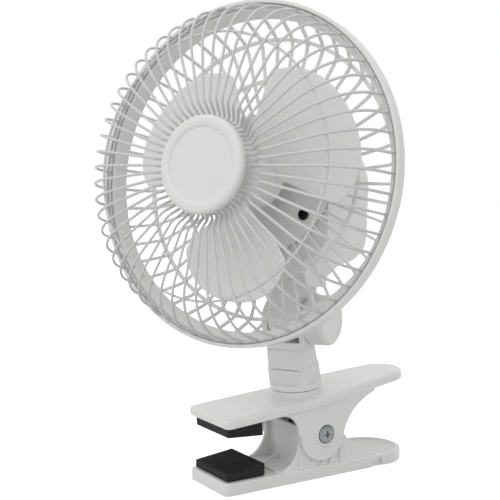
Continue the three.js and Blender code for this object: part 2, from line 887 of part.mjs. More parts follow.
function tiltKnob() {
  const length = knobLength;
  const profile = [
    [0, 0],
    [knobRadius - 0.6, 0],
    [knobRadius, 0.6],
    [knobRadius, length - knobEdge],
    [knobRadius - knobEdge * 0.3, length - knobEdge * 0.3],
    [knobRadius - knobEdge, length],
    [0, length + 0.4],
  ];
  const pocket = insertLength + 3 * seatGap;
  return turned(profile, 32)
    .subtract(bar(insertRadius + seatGap, -1, pocket, 0, 0, 16))
    .rotate([0, 90, 0])
    .translate([knobInner, 0, tiltHeight]);
}

// ---------- Head: rear guard ----------

// Section of the rim: front lip, groove for the wire guard, sloping bowl and rear annulus.
function rimProfile() {
  const lipInner = rimRadius - rimLip;
  const ledge = lipInner - grooveWidth;
  return closed([
    [lipInner, -grooveDepth],
    [ledge, -grooveDepth],
    [bowlRadius, -bowlDepth + bowlEdge],
    [bowlRadius, -bowlDepth],
    [rimRadius - rimChamfer, -bowlDepth],
    [rimRadius, -rimDepth],
    [rimRadius, 0],
    [lipInner, 0],
  ]);
}

function hoop(radius, depth, width, thickness, segments) {
  return turned(
    closed([
      [radius - width / 2, depth - thickness / 2],
      [radius + width / 2, depth - thickness / 2],
      [radius + width / 2, depth + thickness / 2],
      [radius - width / 2, depth + thickness / 2],
    ]),
    segments,
  );
}

// Stations of the rear grid at which its windows and its hoops begin.
const windowStations = [0, 2, 4];
const hoopStations = [1, 3];

// Front and rear faces of the rear grid, from the rim inward, as [radius, depth] at each station:
// rim, both edges of each hoop, edge of the centre plate.
function gridStations() {
  const half = rearRibThickness / 2;
  const edge = ringWidth / 2;
  const rim = rimRadius - (bowlInset + rimChamfer) / 2;
  const rimFace = -bowlDepth + rimOverlap;
  const plateFace = -plateDepth + plateThickness / 2;
  const slope = (rearRingDepth + plateFace) / (rearRingRadius - plateRadius);
  const level = (radius) => -rearRingDepth + slope * (rearRingRadius - radius);
  const inner = [
    rearRingRadius + edge,
    rearRingRadius - edge,
    middleRingRadius + edge,
    middleRingRadius - edge,
    plateRadius,
  ];
  return {
    front: [[rim - half, rimFace], ...inner.map((radius) => [radius, level(radius) + half])],
    back: [[rim + half, rimFace], ...inner.map((radius) => [radius, level(radius) - half])],
  };
}

// Numbers of the grid's corners by rib, station, side and face. One station past the stations' last is the
// centre plate's hole, with one corner a rib on each face.
function gridCorners(stations) {
  const perRib = 4 * stations + 2;
  return (rib, station, right, behind) => {
    const side = right && station < stations ? 2 : 0;
    return (rib % rearRibs) * perRib + 4 * station + side + (behind ? 1 : 0);
  };
}

function gridPositions({ front, back }) {
  const positions = [];
  const place = (radius, angle, depth) =>
    positions.push(radius * Math.cos(angle), radius * Math.sin(angle), depth);
  for (let rib = 0; rib < rearRibs; rib += 1) {
    const middle = ((rib + 0.5) / rearRibs) * 2 * halfTurn;
    front.forEach((_, station) => {
      [-1, 1].forEach((side) => {
        [front, back].forEach((line) => {
          const [radius, depth] = line[station];
          place(radius, middle + side * Math.asin(rearRibWidth / 2 / radius), depth);
        });
      });
    });
    [front, back].forEach((line) => place(bearingHole, middle, line[line.length - 1][1]));
  }
  return positions;
}

// A rib's end in the rim, its front and back, and its point on the centre plate.
function ribFaces(corner, rib, last) {
  const at = (station, right, behind) => corner(rib, station, right, behind);
  const faces = quad(at(0, false, false), at(0, false, true), at(0, true, true), at(0, true, false));
  for (let k = 0; k < last; k += 1) {
    const next = k + 1;
    faces.push(
      ...quad(at(k, false, false), at(k, true, false), at(next, true, false), at(next, false, false)),
      ...quad(at(k, true, true), at(k, false, true), at(next, false, true), at(next, true, true)),
    );
  }
  faces.push(at(last, false, false), at(last, true, false), at(last + 1, false, false));
  faces.push(at(last, true, true), at(last, false, true), at(last + 1, false, true));
  return faces;
}

// Walls of the windows, along a rib's two sides.
function windowSides(corner, rib) {
  return windowStations.flatMap((station) =>
    [false, true].flatMap((right) =>
      facing(!right, [
        corner(rib, station, right, false),
        corner(rib, station, right, true),
        corner(rib, station + 1, right, true),
        corner(rib, station + 1, right, false),
      ]),
    ),
  );
}

// Walls of the windows between a rib and the next, along the rim's side of each hoop and its other side.
function windowEnds(corner, rib, last) {
  return Array.from({ length: last }, (_, i) => i + 1).flatMap((station) =>
    facing(station % 2 === 0, [
      corner(rib, station, true, false),
      corner(rib, station, true, true),
      corner(rib + 1, station, false, true),
      corner(rib + 1, station, false, false),
    ]),
  );
}

// Front and back of the hoops between a rib and the next.
function hoopFaces(corner, rib) {
  return hoopStations.flatMap((station) =>
    [false, true].flatMap((behind) =>
      facing(behind, [
        corner(rib, station, true, behind),
        corner(rib + 1, station, false, behind),
        corner(rib + 1, station + 1, false, behind),
        corner(rib, station + 1, true, behind),
      ]),
    ),
  );
}

// The centre plate's front and back between a rib and the next, and the wall of its hole.
function plateFaces(corner, rib, last) {
  const hole = last + 1;
  const faces = [false, true].flatMap((behind) =>
    facing(behind, [
      corner(rib, last, true, behind),
      corner(rib + 1, last, false, behind),
      corner(rib + 1, hole, false, behind),
      corner(rib, hole, false, behind),
    ]),
  );
  const wall = [[rib, false], [rib + 1, false], [rib + 1, true], [rib, true]];
  return [...faces, ...quad(...wall.map(([place, behind]) => corner(place, hole, false, behind)))];
}

// The grid of ribs and hoops with its centre plate, as one skin with a window between each two ribs.
function rearGrid() {
  const stations = gridStations();
  const last = stations.front.length - 1;
  const corner = gridCorners(last + 1);
  const faces = [];
  for (let rib = 0; rib < rearRibs; rib += 1) {
    faces.push(
      ...ribFaces(corner, rib, last),
      ...windowSides(corner, rib),
      ...windowEnds(corner, rib, last),
      ...hoopFaces(corner, rib),
      ...plateFaces(corner, rib, last),
    );
  }
  return skin(gridPositions(stations), faces);
}

const screwPlaces = [1, -1].flatMap((side) =>
  [1, -1].map((level) => [
    side * guardScrewCircle * Math.cos(degrees(guardScrewAngle)),
    level * guardScrewCircle * Math.sin(degrees(guardScrewAngle)),
  ]),
);

function rearGuard() {
  const back = -plateDepth - 1;
  const front = -plateDepth + plateThickness + 1;
  const body = turned(rimProfile(), rearRibs).add(rearGrid());
  return cut(body, screwPlaces.map(([x, y]) => bar(guardScrewRadius + seatGap, back, front, x, y, 8)));
}

function guardScrew(x, y) {
  const seat = -plateDepth + plateThickness + seatGap;
  const head = bar(guardScrewHead, seat, seat + smallHeadHeight, x, y, 10);
  return head.add(bar(guardScrewRadius, seat - guardScrewLength, seat + 0.5, x, y, 8));
}

// ---------- Head: wire front guard ----------

// Centre line of one wire, as [radius, angle, height]: kink beside the cap, straight run, shoulder, rim.
function wirePath(phase) {
  const shoulderStart = wireReach - shoulderRadius;
  const straight = [
    [wireInner, 0],
    [capRadius + kinkStartGap, 0],
    [kinkEnd, kinkAngle],
    [shoulderStart, wireLean],
  ];
  const points = straight.map(([r, a]) => [r, a, wirePlane]);
  shoulderSteps.forEach((turn) => {
    const angle = degrees(turn);
    points.push([
      shoulderStart + shoulderRadius * Math.sin(angle),
      wireLean,
      wirePlane - shoulderRadius * (1 - Math.cos(angle)),
    ]);
  });
  points.push([wireSeatRadius, wireLean, -wireSeatDepth]);
  return points.map(([r, a, z]) => {
    const angle = phase + degrees(a);
    return new THREE.Vector3(r * Math.cos(angle), r * Math.sin(angle), z);
  });
}

function frontGuard() {
  const wires = Array.from({ length: wireCount }, (_, i) =>
    tube(wirePath((i / wireCount) * 2 * halfTurn), wireRadius, wireSides),
  );
  const thick = 2 * wireRadius;
  const behind = wirePlane - shoulderRingSet;
  return join([
    hoop(wireInner, wirePlane, thick, thick, wireCount / 4),
    hoop(shoulderRingRadius, behind, shoulderRingWidth, shoulderRingWidth, wireCount / 2),
    hoop(wireSeatRadius, -wireSeatDepth, thick, thick, wireCount / 2),
    ...wires,
  ]);
}

// ---------- Head: cap ----------

function guardCap() {
  const back = wirePlane + wireRadius + seatGap;
  const border = capFace + capStep;
  const rim = turned(
    [
      [0, capFace],
      [capStepRadius, capFace],
      [capStepRadius + capStep, border],
      [capRadius - capEdge, border],
      [capRadius - capEdge * 0.3, border - capEdge * 0.3],
      [capRadius, border - capEdge],
      [capRadius, back],
      [capRadius - capSkin, back],
      [capRadius - capSkin - 1, capFace - capSkin],
      [capBossRadius, capFace - capSkin],
      [capBossRadius, wirePlane - wireRadius + seatGap],
      [0, wirePlane - wireRadius + seatGap],
    ].reverse(),
    28,
  );
  return rim.subtract(bar(capScrewRadius + seatGap, 0, capFace - capSkin));
}

function clampPlate() {
  const front = wirePlane - wireRadius - seatGap;
  const disc = bar(clampRadius, front - clampThickness, front, 0, 0, 24);
  return disc.subtract(bar(capScrewRadius + seatGap, 0, capFace));
}

function capScrew() {
  const seat = wirePlane - wireRadius - 2 * seatGap - clampThickness;
  const head = bar(capScrewHead, seat - smallHeadHeight, seat);
  return head.add(bar(capScrewRadius, seat - 0.5, capFace - capSkin - seatGap));
}

// ---------- Rotor ----------

// A point of a blade: u runs from the hub to the tip, v from the leading to the trailing edge.
function bladePoint(u, v, side) {
  const root = hubRadius - bladeRootOverlap;
  const tip = bladeRadius * (1 - bladeCornerFall * Math.abs(v) ** 3);
  const radius = root + (tip - root) * u;
  const spread = bladeRootSpread + (bladeSpread - bladeRootSpread) * Math.sin(u * quarterTurn * 1.3);
  const angle = degrees(spread * v);
  const middle = (bladeFront + bladeBack) / 2;
  const swing = (bladeFront - bladeBack) / 2 - bladeThickness / 2;
  const lift = swing * v * (bladeSwing - bladeSwingFall * u) - bladeCamber * (1 - v * v);
  const height = middle + lift + (side * bladeThickness) / 2;
  return new THREE.Vector3(radius * Math.cos(angle), radius * Math.sin(angle), height);
}

// One blade as a closed skin: each ring goes up the front face and back down the rear one.
function blade() {
  const across = 6;
  const along = 5;
  const rings = [];
  for (let i = 0; i <= along; i += 1) {
    const u = i / along;
    const front = [];
    const back = [];
    for (let j = 0; j <= across; j += 1) {
      const v = (2 * j) / across - 1;
      front.push(bladePoint(u, v, 1));
      back.push(bladePoint(u, v, -1));
    }
    rings.push([...back, ...front.reverse()]);
  }
  return bladeSkin(rings);
}

// Like a loft, but its end faces are strips, because a blade's ends are long and curved.
function bladeSkin(rings) {
  const count = rings[0].length;
  const positions = rings.flat().flatMap((p) => [p.x, p.y, p.z]);
  const faces = [];
  for (let level = 0; level < rings.length - 1; level += 1) {
    for (let i = 0; i < count; i += 1) {
      const next = (i + 1) % count;
      const base = level * count;
      faces.push(...quad(base + i, base + next, base + next + count, base + i + count));
    }
  }
  const top = (rings.length - 1) * count;
  for (let i = 0; i < count / 2 - 1; i += 1) {
    faces.push(
      ...quad(i, count - 1 - i, count - 2 - i, i + 1),
      ...quad(top + i, top + i + 1, top + count - 2 - i, top + count - 1 - i),
    );
  }
  return skin(positions, faces);
}

function fanBlades() {
  const one = blade();
  const blades = Array.from({ length: bladeCount }, (_, i) =>
    one.rotate([0, 0, bladePhase + (i * 360) / bladeCount]),
  );
  const outside = turned(
    [
      [0, hubBack],
      [hubRadius, hubBack],
      [hubRadius, hubFront - hubEdge],
      [hubRadius - hubEdge, hubFront],
      [0, hubFront],
    ],
    24,
  );
  const hollow = turned(
    closed([
      [hubBoss, hubBack - 1],
      [hubRadius - hubSkin, hubBack - 1],
      [hubRadius - hubSkin, hubFront - hubEdge],
      [hubBoss, hubFront - hubEdge],
    ]),
    20,
  );
  const bore = bar(shaftRadius + seatGap, hubBack - 1, hubFront + 1);
  return cut(join([outside.subtract(hollow), ...blades]), [bore]);
}

function bladeNut() {
  const from = hubFront + seatGap;
  const nut = turned([
    [0, from],
    [bladeNutRadius, from],
    [bladeNutRadius, from + bladeNutLength * 0.5],
    [bladeNutRadius * 0.6, from + bladeNutLength],
    [0, from + bladeNutLength],
  ], 12);
  return nut.subtract(bar(shaftRadius + seatGap, hubFront, from + bladeNutLength * 0.75));
}

function motorShaft() {
  return bar(shaftRadius, housingBack + shaftRearEnd, hubFront + bladeNutLength * 0.6, 0, 0, 16);
}

function rotorCore() {
  const core = bar(rotorRadius, statorBack, statorBack + statorLength, 0, 0, 24);
  return core.subtract(bar(shaftRadius + seatGap, statorBack - 1, statorBack + statorLength + 1));
}

// ---------- Motor ----------

const boreRadius = housingRadius - housingSkin;
const statorRadius = boreRadius - seatGap;
const housingFront = -plateDepth - seatGap;

function stator() {
  const from = statorBack;
  const to = statorBack + statorLength;
  const inner = statorRadius - yokeRing;
  const ring = turned(
    closed([
      [inner, from],
      [statorRadius, from],
      [statorRadius, to],
      [inner, to],
    ]),
    32,
  );
  const pole = block([rotorRadius / 2, -poleWidth / 2, from], [inner + 1, poleWidth / 2, to]);
  const poles = [0, 90, 180, 270].map((angle) => pole.rotate([0, 0, angle]));
  return cut(join([ring, ...poles]), [bar(rotorRadius + airGap, from - 1, to + 1, 0, 0, 32)]);
}

// A coil that is wound round one pole.
function winding(angle) {
  const [rotorSide, ringSide] = coilClearances;
  const inner = rotorRadius + airGap + rotorSide;
  const outer = statorRadius - yokeRing - ringSide;
  const half = poleWidth / 2 + seatGap;
  const from = statorBack - seatGap;
  const to = statorBack + statorLength + seatGap;
  const fat = coilThickness;
  const coil = block([inner, -half - fat, from - fat], [outer, half + fat, to + fat]);
  return coil.subtract(block([inner - 1, -half, from], [outer + 1, half, to])).rotate([0, 0, angle]);
}

function motorFrontPlate() {
  const front = housingFront - seatGap;
  const disc = bar(statorRadius, front - frontPlateThickness, front, 0, 0, 32);
  const boss = bar(bearingBoss, front - bearingLength - 1, front + 0.5 + plateThickness, 0, 0, 16);
  const posts = screwPlaces.map(([x, y]) =>
    bar(guardScrewRadius + screwPostWall, statorBack + statorLength + seatGap, front - 1, x, y, 8),
  );
  const hole = guardScrewRadius + seatGap;
  return cut(join([disc, boss, ...posts]), [
    bar(bearingRadius + seatGap, front - bearingLength - 2, front - 0.5),
    bar(shaftRadius + 1, front - 2, front + 5),
    ...screwPlaces.map(([x, y]) => bar(hole, front - guardScrewLength, front + 1, x, y, 8)),
  ]);
}

function bearing(from) {
  const ring = bar(bearingRadius, from, from + bearingLength);
  return ring.subtract(bar(shaftRadius + seatGap, from - 1, from + bearingLength + 1));
}

// ---------- Motor housing ----------

// The housing from the front: a drum on shoulders that narrow to the stalk.
function housingFrontView() {
  return mirroredPlan((outline) => {
    outline.moveTo(0, -stalkEnd);
    outline.lineTo(stalkHalfWidth, -stalkEnd);
    outline.lineTo(stalkHalfWidth, -stalkStart);
    const shoulder = housingRadius - shoulderInset;
    outline.quadraticCurveTo(stalkHalfWidth + 1, -stalkStart + stalkBend, shoulder, -shoulderFall);
    outline.quadraticCurveTo(housingRadius, -shoulderBend, housingRadius, -housingStraight);
    outline.lineTo(housingRadius, 0);
    outline.absarc(0, 0, housingRadius, 0, quarterTurn);
  });
}

// The housing from the side, as [depth, height]: full depth at the drum, drawn in to the stalk below.
function housingSideView() {
  const top = housingRadius + 1;
  const low = -stalkEnd - 1;
  const front = -rimForward + stalkHalfDepth;
  const back = -rimForward - stalkHalfDepth;
  const outline = new THREE.Shape();
  outline.moveTo(top, housingFront);
  outline.lineTo(-housingStraight - stalkBend, housingFront);
  outline.quadraticCurveTo(-stalkStart + stalkBend / 2, housingFront, -stalkStart, front);
  outline.lineTo(low, front);
  outline.lineTo(low, back);
  outline.lineTo(-stalkStart, back);
  outline.quadraticCurveTo(-stalkStart + stalkBend, housingBack, -housingStraight, housingBack);
  outline.lineTo(top, housingBack);
  return outline;
}

function housingBody() {
  const edge = housingBackEdge;
  const drum = new THREE.ExtrudeGeometry(housingFrontView(), {
    depth: housingFront - housingBack,
    bevelEnabled: true,
    bevelSize: edge,
    bevelThickness: edge,
    bevelOffset: -edge,
    bevelSegments: 3,
    curveSegments: 6,
  });
  const outer = solid(drum.translate(0, 0, housingBack + edge));
  return outer.intersect(sidePlate(housingSideView(), -housingRadius - 1, housingRadius + 1, 8));
}

// The tongue that hangs between the cheeks of the neck.
function tongue() {
  const outline = new THREE.Shape();
  outline.moveTo(-axisHeight, -rimForward - yokeRadius);
  outline.absarc(-axisHeight, -rimForward, yokeRadius, -quarterTurn, -1.5 * halfTurn, true);
  outline.lineTo(-stalkStart - tongueOverlap, -rimForward + yokeRadius);
  outline.lineTo(-stalkStart - tongueOverlap, -rimForward - yokeRadius);
  return sidePlate(outline, -tongueHalfWidth, tongueHalfWidth, 10);
}

function motorHousing() {
  const inner = housingBack + housingSkin;
  const boss = bar(bearingBoss, inner - 1, inner + bearingLength + 0.5);
  const bossBore = bar(bearingRadius + seatGap, inner, inner + bearingLength + 1);
  const hollow = bar(boreRadius, inner, 0, 0, 0, 32);
  const body = cut(join([housingBody(), tongue()]), [hollow]).add(boss);
  return cut(body, [
    bossBore,
    crossBar(tiltBoltRadius + seatGap, -housingRadius, housingRadius, -axisHeight, -rimForward),
    bar(switchStem + seatGap, housingBack - 1, inner + 1, 0, switchHeight),
    bar(glandRadius + seatGap, housingBack - 1, inner + 1, 0, glandHeight),
  ]);
}

function switchBody() {
  const half = switchSize / 2;
  const from = housingBack + housingSkin + seatGap;
  const body = block(
    [-half, switchHeight - half + 2, from],
    [half, switchHeight + half, from + switchDepth],
  );
  return body.add(bar(switchStem, housingBack - speedKnobLength * 0.5, from + 1, 0, switchHeight, 16));
}

function speedKnob() {
  const front = housingBack - seatGap;
  const grip = join([
    bar(speedKnobRadius, front - speedKnobLength * 0.45, front, 0, switchHeight, 24),
    block(
      [-speedKnobGrip, switchHeight - speedKnobRadius + 0.6, front - speedKnobLength],
      [speedKnobGrip, switchHeight + speedKnobRadius - 0.6, front - 1],
    ),
  ]);
  const deep = housingBack - speedKnobLength * 0.6;
  const bore = bar(switchStem + seatGap, deep, front + 1, 0, switchHeight, 16);
  return grip.subtract(bore);
}

function cordGland() {
  const from = housingBack - seatGap;
  const to = housingBack + housingSkin + 2;
  const bush = bar(glandRadius, from - 1, to, 0, glandHeight);
  const flange = bar(glandFlange, from - 2, from, 0, glandHeight, 16);
  return bush.add(flange).subtract(bar(glandBore, from - 3, to + 1, 0, glandHeight));
}

// ---------- Assembly ----------

function clipGroup() {
  const group = new THREE.Group();
  group.add(
    piece('lower_jaw', white, lowerJaw()),
    piece('lower_pad', blackRubber, lowerPad()),
    piece('pivot_bolt', steel, pivotBolt()),
    piece('pivot_nut', steel, pivotNut()),
    piece('pivot_sleeve', softWhite, pivotSleeve()),
    piece('torsion_spring', springSteel, torsionSpring()),
  );
  return group;
}

function leverGroup() {
  const group = new THREE.Group();
  group.position.set(0, pivotY, pivotZ);
  group.rotation.x = degrees(leverPitch);
  group.add(
    piece('upper_lever', white, upperLever()),
    piece('upper_pad', blackRubber, upperPad()),
    neckGroup(),
  );
  return group;
}

function neckGroup() {
  const group = new THREE.Group();
  group.position.set(0, neckOffset, leverTop);
  group.rotation.z = degrees(neckPan);
  group.add(
    piece('neck_post', white, neckPost()),
    piece('swivel_screw', steel, swivelScrew()),
    piece('swivel_washer', steel, swivelWasher()),
    piece('tilt_bolt', steel, tiltBolt()),
    piece('knob_insert', brass, knobInsert()),
    piece('tilt_knob', white, tiltKnob()),
    headGroup(),
  );
  return group;
}

function headGroup() {
  const group = new THREE.Group();
  group.position.set(0, 0, tiltHeight);
  group.rotation.x = degrees(-headTilt);
  const fan = new THREE.Group();
  fan.position.set(0, -rimForward, axisHeight);
  fan.rotation.x = quarterTurn;
  fan.add(...guardPieces(), ...motorPieces(), ...rotorPieces());
  group.add(fan);
  return group;
}

function guardPieces() {
  return [
    piece('rear_guard', white, rearGuard()),
    piece('front_guard', coatedWire, frontGuard()),
    piece('guard_cap', white, guardCap()),
    piece('cap_clamp', softWhite, clampPlate()),
    piece('cap_screw', steel, capScrew()),
    ...screwPlaces.map(([x, y], i) => piece(`guard_screw_${i + 1}`, steel, guardScrew(x, y))),
  ];
}

function motorPieces() {
  const front = housingFront - seatGap - 0.5 - seatGap - bearingLength;
  return [
    piece('motor_housing', white, motorHousing()),
    piece('motor_front_plate', softWhite, motorFrontPlate()),
    piece('front_bearing', brass, bearing(front)),
    piece('rear_bearing', brass, bearing(housingBack + housingSkin + seatGap)),
    piece('stator', laminations, stator()),
    ...[0, 90, 180, 270].map((angle, i) => piece(`winding_${i + 1}`, copper, winding(angle))),
    piece('switch_body', softWhite, switchBody()),
    piece('speed_knob', white, speedKnob()),
    piece('cord_gland', softWhite, cordGland()),
  ];
}

function rotorPieces() {
  return [
    piece('motor_shaft', steel, motorShaft()),
    piece('rotor_core', laminations, rotorCore()),
    piece('fan_blades', bladeTint, fanBlades()),
    piece('blade_nut', softWhite, bladeNut()),
  ];
}

const fan = new THREE.Group();
fan.add(clipGroup(), leverGroup());
export default fan;
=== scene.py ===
# Looks of the clip fan: detailed pieces, materials, studio light and camera round the CAD frame.
# Shapes are in millimetres in the frame of their body. bare_object() sets them into the row frame.

import json
import math

import bmesh
import bpy
from mathutils import Matrix, Vector

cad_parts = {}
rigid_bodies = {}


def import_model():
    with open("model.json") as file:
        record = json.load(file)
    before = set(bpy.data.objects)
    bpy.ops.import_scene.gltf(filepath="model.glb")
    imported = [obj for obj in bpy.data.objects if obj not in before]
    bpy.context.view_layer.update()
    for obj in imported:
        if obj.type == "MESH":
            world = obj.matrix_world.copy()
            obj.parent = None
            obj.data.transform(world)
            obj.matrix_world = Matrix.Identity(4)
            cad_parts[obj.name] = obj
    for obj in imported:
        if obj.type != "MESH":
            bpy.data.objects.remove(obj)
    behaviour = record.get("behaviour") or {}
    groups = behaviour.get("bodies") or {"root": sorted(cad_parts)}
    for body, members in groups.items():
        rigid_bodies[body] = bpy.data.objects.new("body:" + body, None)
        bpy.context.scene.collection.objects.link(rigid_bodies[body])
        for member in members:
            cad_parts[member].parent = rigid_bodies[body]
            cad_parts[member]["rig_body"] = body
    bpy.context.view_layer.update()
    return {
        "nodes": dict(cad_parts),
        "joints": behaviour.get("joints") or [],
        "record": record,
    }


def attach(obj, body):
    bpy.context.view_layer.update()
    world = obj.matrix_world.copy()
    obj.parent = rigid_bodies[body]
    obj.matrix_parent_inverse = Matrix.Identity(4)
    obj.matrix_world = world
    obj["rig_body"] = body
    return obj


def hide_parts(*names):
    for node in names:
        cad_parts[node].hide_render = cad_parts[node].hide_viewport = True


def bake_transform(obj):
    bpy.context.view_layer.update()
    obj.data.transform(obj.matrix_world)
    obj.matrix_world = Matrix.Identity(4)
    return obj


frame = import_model()

MM = 0.001
GAP = 0.3  # running gap between pieces, as in the CAD
FAR = 30  # takes a cutter past what it cuts
CUT_EDGE = 0.01  # edge of a cutter, which leaves a crisp one

# --- Dimensions ---

# Lower jaw
BASE_HALF = 20.8
BASE_TOP = 7
BASE_FRONT = -62
BASE_REAR = 76
BASE_CORNER = 4
BASE_SKIN = 2
BASE_EDGE = 0.9
CAVITY_REAR = 26
WALL_OUTER = 19
WALL_THICKNESS = 2.4
THROAT_Y = -27
THROAT_RADIUS = 16.3
CHEEK_RADIUS = 12.5
WALL_TAIL = 50
CROSS_WALL_REAR = -6
CROSS_WALL_THICKNESS = 2
CROSS_WALL_TOP = 31
GUSSET_X = 8
GUSSET_LENGTH = 14
GUSSET_HEIGHT = 7
GUSSET_THICKNESS = 1.6
FLOOR_STEP = (-26, 1.6, 1.2)  # place, length, height
UNDER_RIBS = (-31, 0)
UNDER_RIB_WIDTH = 1.8
UNDER_RIB_FOOT = 1.8
KEEL_WIDTH = 3
SCOOP_START = 30
SCOOP_MARGIN = 2.4
SCOOP_DEPTH = 4.2
NOTCH_Y = 46
NOTCH_WIDTH = 12
NOTCH_HEIGHT = 5.8
NOTCH_DEPTH = 1.4
SIDE_RIBS = (-10.5, -2.6, 4.7, 11.4, 18.8)
SIDE_RIB_WIDTH = 1.6
SIDE_RIB_TOP = 15.7
SIDE_RIB_CLEARANCE = 1.2

# Clip pivot and spring
PIVOT = Vector((0, 6.2, 26.2))
BOLT_RADIUS = 2
BOLT_HEAD_RADIUS = 5.3
BOLT_HEAD_HEIGHT = 2.2
BOLT_CROSS = (2.6, 0.5, 1.3)  # arm, half width, depth
NUT_HEIGHT = 3
SLEEVE_RADIUS = 4.6
SPRING_WIRE = 1
SPRING_TURNS = 6 + 1 / 3
SPRING_PITCH = 2.6
SPRING_START = -120
SPRING_LEG = 17

# Upper lever, about the pivot
LEVER_TOP = 22.2
LEVER_FRONT = -66.8
LEVER_REAR = 73.9
LEVER_HALF = 22.5
LEVER_TAIL_HALF = 16.2
LEVER_DEPTH = 5.5
LEVER_FOOT = LEVER_TOP - LEVER_DEPTH
LEVER_SKIN = 2.4
LEVER_CORNER = 3.5
LEVER_EDGE = 2.3
HANDLE_RISE = 3
HANDLE_BEND = 0.27
HANDLE_BEND_RISE = 0.73
NARROWING_START = 8
SEAT_LENGTH = 28
SEAT_THICKNESS = 1.8
SEAT_INSET = 1.2
EAR_OUTER = 21.5
EAR_THICKNESS = 2.2
EAR_RADIUS = 15.5
EAR_CENTRE = -1.6
LEVER_THROAT_Y = -30.4
LEVER_THROAT_Z = 5
LEVER_THROAT_RADIUS = 11.5
SCREW_RING_RADIUS = 7.1
SCREW_RING_HEIGHT = 0.9
SCREW_RECESS = 0.4
BOSS_RADIUS = 15
BOSS_HEIGHT = 3.5
NECK_OFFSET = -4.6

# Pads
PAD_HALF = 18
PAD_INSET = 2.6
LOWER_PAD = (25, 4.4, 7.2)  # length, front height, rear height
UPPER_PAD = (23, 5.7, 8.9)
PAD_EDGE_TO_DOT = 1.2
DOT_PITCH = 1.6
DOT_ROW_PITCH = DOT_PITCH * 0.866
DOT_RADIUS = 0.5
DOT_HEIGHT = 0.4

# Neck, above the lever's top plane
FLANGE_RADIUS = 15.8
FLANGE_HEIGHT = 3.4
POST_HALF = 12.4
POST_DEPTH = 12
POST_TAPER = 7
POST_CORNER = 3.4
POST_FOOT = BOSS_HEIGHT + GAP + FLANGE_HEIGHT - 1
RIDGE_STEP = 0.6
RIDGE_SLOPE = 1.4
RIDGE_HEIGHTS = (17, 28)
RIDGE_SHAPE = ((1.2, 0.8, 0), (0.4, 1, 0), (0.1, 0.8, 0.2), (0, 0.3, 0.6))  # drop, share of step, dip
FORK_HALF = 14.6
FORK_START = 31.5
TILT_HEIGHT = 45
FORK_RADIUS = 11.5
TONGUE_HALF = 10.2
FORK_FIT = 0.4
SWIVEL_RADIUS = 2.5
TILT_BOLT_RADIUS = 2.5
TILT_HEAD_RADIUS = 4.6
TILT_HEAD_HEIGHT = 3.2
KNOB_RADIUS = 14.7
KNOB_LENGTH = 12.4
KNOB_EDGE = 2.4
INSERT_RADIUS = 4.5
INSERT_LENGTH = 6

# Head, from the rim's front plane along the fan axis
AXIS_HEIGHT = 79.2
RIM_FORWARD = 65.3
RIM_RADIUS = 95
RIM_DEPTH = 7
RIM_LIP = 2
RIM_BACK_RADIUS = RIM_RADIUS - 4
GROOVE_DEPTH = 2.8
GROOVE_WIDTH = 3.2
BOWL_DEPTH = 10.8
BOWL_RADIUS = 86.6
OUTER_RING = (79.7, -28.8)
MIDDLE_RING = (57.1, -31.65)
PLATE_RADIUS = 40
PLATE_DEPTH = 35
PLATE_THICKNESS = 2.4
PLATE_FRONT = -PLATE_DEPTH + PLATE_THICKNESS
REAR_RIBS = 48
RIB_WIDTH = 1.6
RIB_THICKNESS = 1.8
RING_WIDTH = 2.2

# Wire front guard and its cap
WIRE_COUNT = 56
WIRE_PHASE = 4.2
WIRE_RADIUS = 0.75
WIRE_PLANE = 30.6
WIRE_INNER = 19.5
WIRE_CLAMPED = 23.6
DIP_START = 26
DIP_END = 27.6
KINK_END = 34.6
KINK_DEPTH = 6
SHOULDER_RADIUS = 28
WIRE_REACH = 90
WIRE_SEAT = 91.6
WIRE_SEAT_DEPTH = 1.6
SHOULDER_RING = 70.3
SHOULDER_RING_SET = 2.5
SHOULDER_RING_RADIUS = 0.7
CAP_RADIUS = 25.9
CAP_EDGE = 2.6
CAP_FACE = 34.4
CAP_STEP_RADIUS = 19.4
CAP_STEP = 1.3
CAP_SKIN = 1.8
CAP_BOSS = 5
CAP_SCREW = 1.6

# Blades and hub
BLADES = 3
BLADE_PHASE = 25
BLADE_RADIUS = 70.5
BLADE_THICKNESS = 1.8
BLADE_ROOT_SPREAD = 33
BLADE_SPREAD = 42
BLADE_FRONT = 6
BLADE_BACK = -16
BLADE_CAMBER = 2.5
BLADE_TIP_CURVE = 0.17  # share of the radius
BLADE_EDGE = 0.035  # share of the width that rounds off
HUB_RADIUS = 17
HUB_FRONT = 8
HUB_BACK = -22
HUB_SKIN = 2
HUB_EDGE = 3
HUB_BOSS = 6.5
SHAFT_RADIUS = 3
NUT_RADIUS = 7
NUT_LENGTH = 6

# Motor housing
HOUSING_RADIUS = 38
HOUSING_BACK = -92
HOUSING_EDGE = 9
HOUSING_SKIN = 3
HOUSING_INSIDE = HOUSING_BACK + HOUSING_SKIN
HOUSING_FACE = -PLATE_DEPTH - GAP
HOUSING_STRAIGHT = 28
SHOULDER_PLACE = 28.7
SHOULDER_FALL = 44
SHOULDER_BEND = 38
STALK_HALF = 15.5
STALK_START = 54
STALK_HALF_DEPTH = 13
BEARING_BOSS = 8.5
BEARING_BOSS_LENGTH = 5.5
BEARING_BORE = 6.3
SCREW_CIRCLE = 31.4
SCREW_ANGLE = 40
SCREW_RADIUS = 1.9
SCREW_HEAD = 3.2
SCREW_HEAD_HEIGHT = 1.8
SCREW_CROSS = (1.8, 0.35, 1)
SCREW_LENGTH = 9
SWITCH_HEIGHT = 17
STEM_RADIUS = 2.5
DIAL_RADIUS = 9.5
DIAL_LENGTH = 9
DIAL_GRIP = 2.2
GLAND_HEIGHT = -28
GLAND_RADIUS = 4
GLAND_BORE = 2.6
GLAND_FLANGE = 5.6

